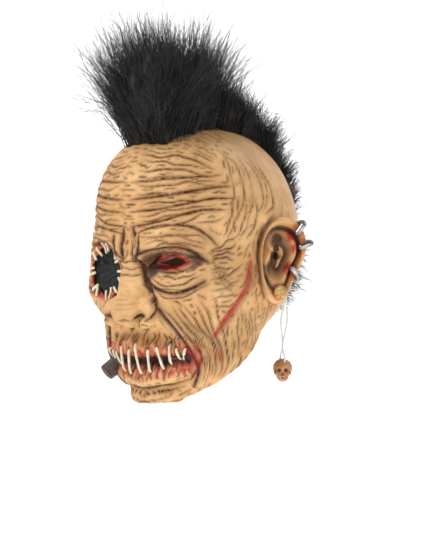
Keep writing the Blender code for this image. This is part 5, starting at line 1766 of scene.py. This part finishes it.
class Creases:
    """The drawn lines, which give the skin its height, its red and its painted brown shade near them."""

    def __init__(self):
        self.lines = []

    def add(self, line, width, depth, red=0.0):
        line = np.asarray(line)
        span = np.concatenate([[0], np.cumsum(np.linalg.norm(np.diff(line, axis=0), axis=1))])
        wanted = np.linspace(0, span[-1], max(6, int(span[-1] / 0.0008)))
        dense = np.stack([np.interp(wanted, span, line[:, k]) for k in range(3)], axis=1)
        share = np.linspace(0, 1, len(dense))
        taper = np.minimum(1, 4.0 * np.minimum(share, 1 - share)) ** 0.7
        self.lines.append((dense, width * (0.5 + 0.5 * taper), depth * taper, red))

    def fields(self, points):
        """The skin's height, its painted brown shade along the creases, its red and the painted shade of its
        deepest folds at each point.
        """
        sink, swell = np.zeros(len(points)), np.zeros(len(points))
        tone, red, fold = np.zeros(len(points)), np.zeros(len(points)), np.zeros(len(points))
        order = np.argsort(points[:, 2])
        heights = points[order, 2]
        for number, (line, width, depth, redness) in enumerate(self.lines):
            margin = 4.5 * width.max()
            low, high = line.min(axis=0) - margin, line.max(axis=0) + margin
            near = order[np.searchsorted(heights, low[2]):np.searchsorted(heights, high[2])]
            near = near[((points[near] > low) & (points[near] < high)).all(axis=1)]
            if not len(near):
                continue
            offset = np.linalg.norm(points[near][:, None] - line[None], axis=2)
            place = offset.argmin(axis=1)
            ratio = offset[np.arange(len(near)), place] / width[place]
            deep = depth[place]
            sink[near] = np.maximum(sink[near], deep * np.exp(-ratio ** 1.6))
            swell[near] = np.maximum(swell[near], 0.45 * deep * np.exp(-((ratio - 2.1) / 1.0) ** 2))
            # Painted shade: dark brown along each crease, with a fainter wide band round it
            mark = np.clip(deep / CREASE_DEPTH, 0, 1) ** 0.5
            shade = np.maximum(np.exp(-(ratio / 0.9) ** 2), 0.34 * np.exp(-(ratio / 2.3) ** 2))
            tone[near] = np.maximum(tone[near], mark * shade)
            red[near] = np.maximum(red[near], redness * np.exp(-(ratio / 1.25) ** 2))
            tone[near] = np.minimum(tone[near], 1 - 0.62 * redness * np.exp(-(ratio / 1.2) ** 2))
            # Painted shade: a wide dark band along the deepest folds, used in the brown and in the bruise
            # colour
            if number < DARK_CREASES and not redness:
                fold[near] = np.maximum(fold[near], 0.72 * np.exp(-(offset.min(axis=1) / 0.0019) ** 1.4))
        deepest = DEEPEST_CREASE * WALL
        sink = deepest * np.tanh(sink / deepest)
        return swell - sink, np.maximum(tone, fold), red, fold


# Fine creases that fill the skin between the drawn ones and run along with them
FILL_SEEDS = 9500
FILL_STEP = 0.0014
FILL_SPACING = 0.00155


def fill_strength(points):
    """How deeply the fine creases mark the skin: full on the face, faint on scalp, back and nose."""
    share = points / HALVES
    nose = np.hypot(share[:, 0] / 0.31, (share[:, 2] + 0.24) / 0.21) < 1
    nose &= share[:, 1] < -0.8
    turn = np.degrees(np.arctan2(np.abs(points[:, 0]), -(points[:, 1] - RAY_CENTRE[1])))
    scalp = np.clip((share[:, 2] - 0.10) / 0.3, 0, 1) * np.clip((turn - 58) / 14, 0, 1)
    back = np.clip((turn - 105) / 20, 0, 1)
    strength = 1 - 0.95 * np.maximum(scalp, back)
    strength = strength * (1 - 0.9 * nose)
    under_fur = (np.abs(points[:, 0]) < 0.45 * FUR_STRIP_WIDTH) & ((share[:, 2] > 0.9) | (turn > 120))
    return strength * ~under_fur


def in_openings(points):
    """Whether points lie in an eye's opening or on the lips' gap."""
    across, upward = eye_offsets(points, GOUGE_AXES)
    gouge = (np.hypot(across / GOUGED_EYE_WIDTH, upward / GOUGED_EYE_HEIGHT) < 0.51) & (points[:, 0] < 0)
    across, upward = eye_offsets(points, SLIT_AXES)
    slit = (np.hypot(across / EYE_SLIT_WIDTH, upward / EYE_SLIT_HEIGHT / 1.5) < 0.52) & (points[:, 0] > 0)
    return (gouge | slit) & (points[:, 1] < -0.3 * HALF_DEPTH)


def lay_fill(ground, creases):
    """Grows short wavering creases along the drawn ones, wherever there is room."""
    guides, along = [], []
    for line, _, _, _ in creases.lines:
        tangent = np.gradient(line, axis=0)
        guides.append(line[::3])
        along.append((tangent / np.linalg.norm(tangent, axis=1)[:, None])[::3])
    guides, along = np.vstack(guides), np.vstack(along)
    tree = KDTree(len(guides))
    for i, point in enumerate(guides):
        tree.insert(point, i)
    tree.balance()
    taken = {}
    for number, (line, _, _, _) in enumerate(creases.lines):
        mark_cells(taken, line, number)
    seeds = ground.points[RANDOM.integers(0, len(ground.points), FILL_SEEDS)]
    seeds = seeds[(fill_strength(seeds) > 0.05) & ~in_openings(seeds)]
    number = len(creases.lines)
    for seed in seeds:
        number += 1
        if crowded(taken, seed, number):
            continue
        halves = []
        wobble = RANDOM.normal(0, 0.35)
        for sign in (1, -1):
            halves.append(grow_line(ground, tree, along, taken, seed, sign, number, wobble))
        line = np.array(halves[1][::-1] + [seed] + halves[0])
        if len(line) < 4:
            continue
        mark_cells(taken, line, number)
        strength = fill_strength(seed[None])[0]
        creases.add(line, CREASE_WIDTH * RANDOM.uniform(0.8, 1.2),
                    CREASE_DEPTH * strength * RANDOM.uniform(0.45, 1.0))


def grow_line(ground, tree, along, taken, seed, sign, number, wobble):
    """One half of a fine crease, up to where it meets another or has its length."""
    place, heading, points = seed, None, []
    for step in range(int(RANDOM.integers(4, 17))):
        total = np.zeros(3)
        for _, index, distance in tree.find_n(place, 5):
            tangent = along[index]
            if heading is not None and tangent @ heading < 0:
                tangent = -tangent
            elif heading is None and tangent @ along[tree.find(place)[1]] < 0:
                tangent = -tangent
            total += tangent / (distance + 0.003) ** 2
        total = total / np.linalg.norm(total)
        if heading is None:
            total = total * sign
        heading = total
        turned_by = wobble * math.sin(0.9 * step + 4 * wobble)
        bent = total + turned_by * np.cross(total, unit(place - RAY_CENTRE))
        place, _ = ground.nearest(place + FILL_STEP * unit(bent))
        if crowded(taken, place, number):
            break
        points.append(place)
    return points


def cell_of(point):
    return tuple(int(v) for v in np.floor(point / FILL_SPACING))


def mark_cells(taken, line, number):
    for point in line:
        taken[cell_of(point)] = number


def crowded(taken, point, number):
    """Whether another line runs within about the spacing of a point."""
    i, j, k = cell_of(point)
    for a in (i - 1, i, i + 1):
        for b in (j - 1, j, j + 1):
            for c in (k - 1, k, k + 1):
                if taken.get((a, b, c), number) != number:
                    return True
    return False


def all_creases(ground):
    creases = Creases()
    for family in MAIN_CREASES:
        lay_family(ground, creases, family, 0.35)
    turns, heights = evenly(SCAR.first, 60)
    scar = ground.at(turns, heights)
    creases.add(scar, SCAR.width * CREASE_WIDTH, SCAR.depth * CREASE_DEPTH, 1.0)
    for family in FAMILIES:
        lay_family(ground, creases, family)
    lay_fill(ground, creases)
    return creases


def hanging_cord(material):
    """The white cord, from the back of the lobe through the bead and back again."""
    ends, low, side, forward, outward = pendant_places()
    knots = cord_knots(ends, low, side, forward, outward)
    places = smooth_line(knots, 120) - CROWN
    curve = bpy.data.curves.new("cord", "CURVE")
    curve.dimensions = "3D"
    curve.bevel_depth = CORD_DIAMETER / 2
    curve.bevel_resolution = 5
    curve.use_fill_caps = True
    spline = curve.splines.new("POLY")
    spline.points.add(len(places) - 1)
    for point, place in zip(spline.points, places):
        point.co = (*map(float, place), 1.0)
    curve.materials.append(material)
    made = placed("cord", curve)
    on_body(made, "pendant_cord")
    length = float(np.linalg.norm(np.diff(places, axis=0), axis=1).sum())
    return made, places, length


def fur_core(material):
    """The dark inside of the mohawk, which the hairs stand out of."""
    rows, columns = 70, 15
    along = np.repeat(np.linspace(0.004, 0.996, rows), columns)
    across = np.tile(np.linspace(-0.5, 0.5, columns) * FUR_STRIP_WIDTH, rows)
    below = strip_point(along, across, np.full(len(along), SEAT_GAP))
    aim, length = fur_aim(along, across)
    share = 2 * np.abs(across) / FUR_STRIP_WIDTH
    lumps = 1 + 0.10 * np.sin(along * 95 + across * 300) + 0.06 * np.sin(along * 47 - across * 500)
    ends = np.minimum(1, 18 * np.minimum(along + 0.03, 1.03 - along)) ** 0.5
    above = below + aim * (0.58 * length * (1 - share ** 4) ** 0.5 * lumps * ends + 0.002)[:, None]
    top = len(below)
    faces = [f[::-1] for f in grid_faces(rows, columns, 0, closed=False)]
    faces += grid_faces(rows, columns, top, closed=False)
    for i in range(rows - 1):
        a, b = i * columns, (i + 1) * columns
        faces.append((a, b, b + top, a + top))
        a, b = a + columns - 1, b + columns - 1
        faces.append((b, a, a + top, b + top))
    for j in range(columns - 1):
        faces.append((j + 1, j, j + top, j + 1 + top))
        a = (rows - 1) * columns + j
        faces.append((a, a + 1, a + 1 + top, a + top))
    return on_body(new_piece("fur_core", np.vstack([below, above]), faces, material), "mohawk")


FLOOR_LEVEL = -0.42
PAPER_GLOW = 0.55
WORLD_LIGHT = 0.17
LIGHT_AIM_Z = -0.1
Light = namedtuple("Light", "name x y z size watts")
LIGHTS = [
    Light("key", -0.30, -1.15, 1.15, 0.36, 22),
    Light("fill", 1.7, -0.6, 0.1, 1.0, 7),
    Light("rim", 0.9, 1.0, 1.1, 0.9, 8),
]


def make_stage():
    """A white floor that curves up behind, and soft lights."""
    material = new_material("paper", (0.95, 0.95, 0.95), 0.9)
    shader = material.node_tree.nodes["Principled BSDF"]
    shader.inputs["Emission Color"].default_value = (1.0, 1.0, 1.0, 1.0)
    shader.inputs["Emission Strength"].default_value = PAPER_GLOW
    profile = [(-2.2, FLOOR_LEVEL), (1.4, FLOOR_LEVEL)]
    for a in np.linspace(0.1, 1.5, 12):
        profile.append((1.4 + 0.6 * math.sin(a), FLOOR_LEVEL + 0.6 - 0.6 * math.cos(a)))
    profile.append((2.0, FLOOR_LEVEL + 3.2))
    turn = np.array([-math.sin(CAMERA_TURN), math.cos(CAMERA_TURN), 0.0])
    right = np.array([math.cos(CAMERA_TURN), math.sin(CAMERA_TURN), 0.0])
    points = [turn * y + right * x + UP * z for y, z in profile for x in (-3.5, 3.5)]
    faces = [(2 * i, 2 * i + 1, 2 * i + 3, 2 * i + 2) for i in range(len(profile) - 1)]
    mesh = bpy.data.meshes.new("floor")
    mesh.from_pydata([tuple(map(float, p)) for p in points], [], faces)
    mesh.materials.append(material)
    mesh.shade_smooth()
    floor = placed("floor", mesh)
    bpy.context.scene.view_settings.view_transform = "Standard"
    world = bpy.data.worlds.new("world")
    bpy.context.scene.world = world
    world.use_nodes = True
    world.node_tree.nodes["Background"].inputs["Color"].default_value = (1.0, 1.0, 1.0, 1.0)
    world.node_tree.nodes["Background"].inputs["Strength"].default_value = WORLD_LIGHT
    for light in LIGHTS:
        add_light(light)


def add_light(light):
    """A soft square light that looks at the mask."""
    lamp = bpy.data.lights.new(light.name, "AREA")
    lamp.energy = light.watts
    lamp.size = light.size
    made = placed(light.name, lamp)
    made.location = (light.x, light.y, light.z)
    aim = Vector((-light.x, -light.y, LIGHT_AIM_Z - light.z))
    made.rotation_euler = aim.to_track_quat("-Z", "Y").to_euler()


def main():
    make_camera()
    make_stage()
    bead = skull_piece(bone_material())
    cord, places, length = hanging_cord(cord_material())
    latex = latex_material()
    ground = Ground()
    creases = all_creases(ground)
    thread = thread_material()
    mouth_stitches(ground, thread)
    eye_stitches(ground, thread)
    skin = skin_body(ground, creases)
    for sign in (1, -1):
        ear = fine_ear(sign, EAR_RINGS, EAR_SPOKES)
        boolean(ear, head_core(ground, -WALL / 2), "DIFFERENCE")
        boolean(skin, ear, "UNION")
    cut_skin_openings(skin)
    paint_skin(skin)
    skin.data.materials.clear()
    skin.data.materials.append(latex)
    skin.data.shade_smooth()
    on_body(skin, "mask_shell", slot="latex")
    lid_rims(ground, new_material("wet_red", (0.30, 0.020, 0.014), 0.22))
    gauze_piece(gauze_material())
    ear_cuffs(silver_material())
    plug_nugget(gold_material())
    cigar_piece(cigar_material())
    fur = fur_material()
    fur_core(fur)
    for layer in FUR_LAYERS:
        fur_layer(layer, fur)


main()
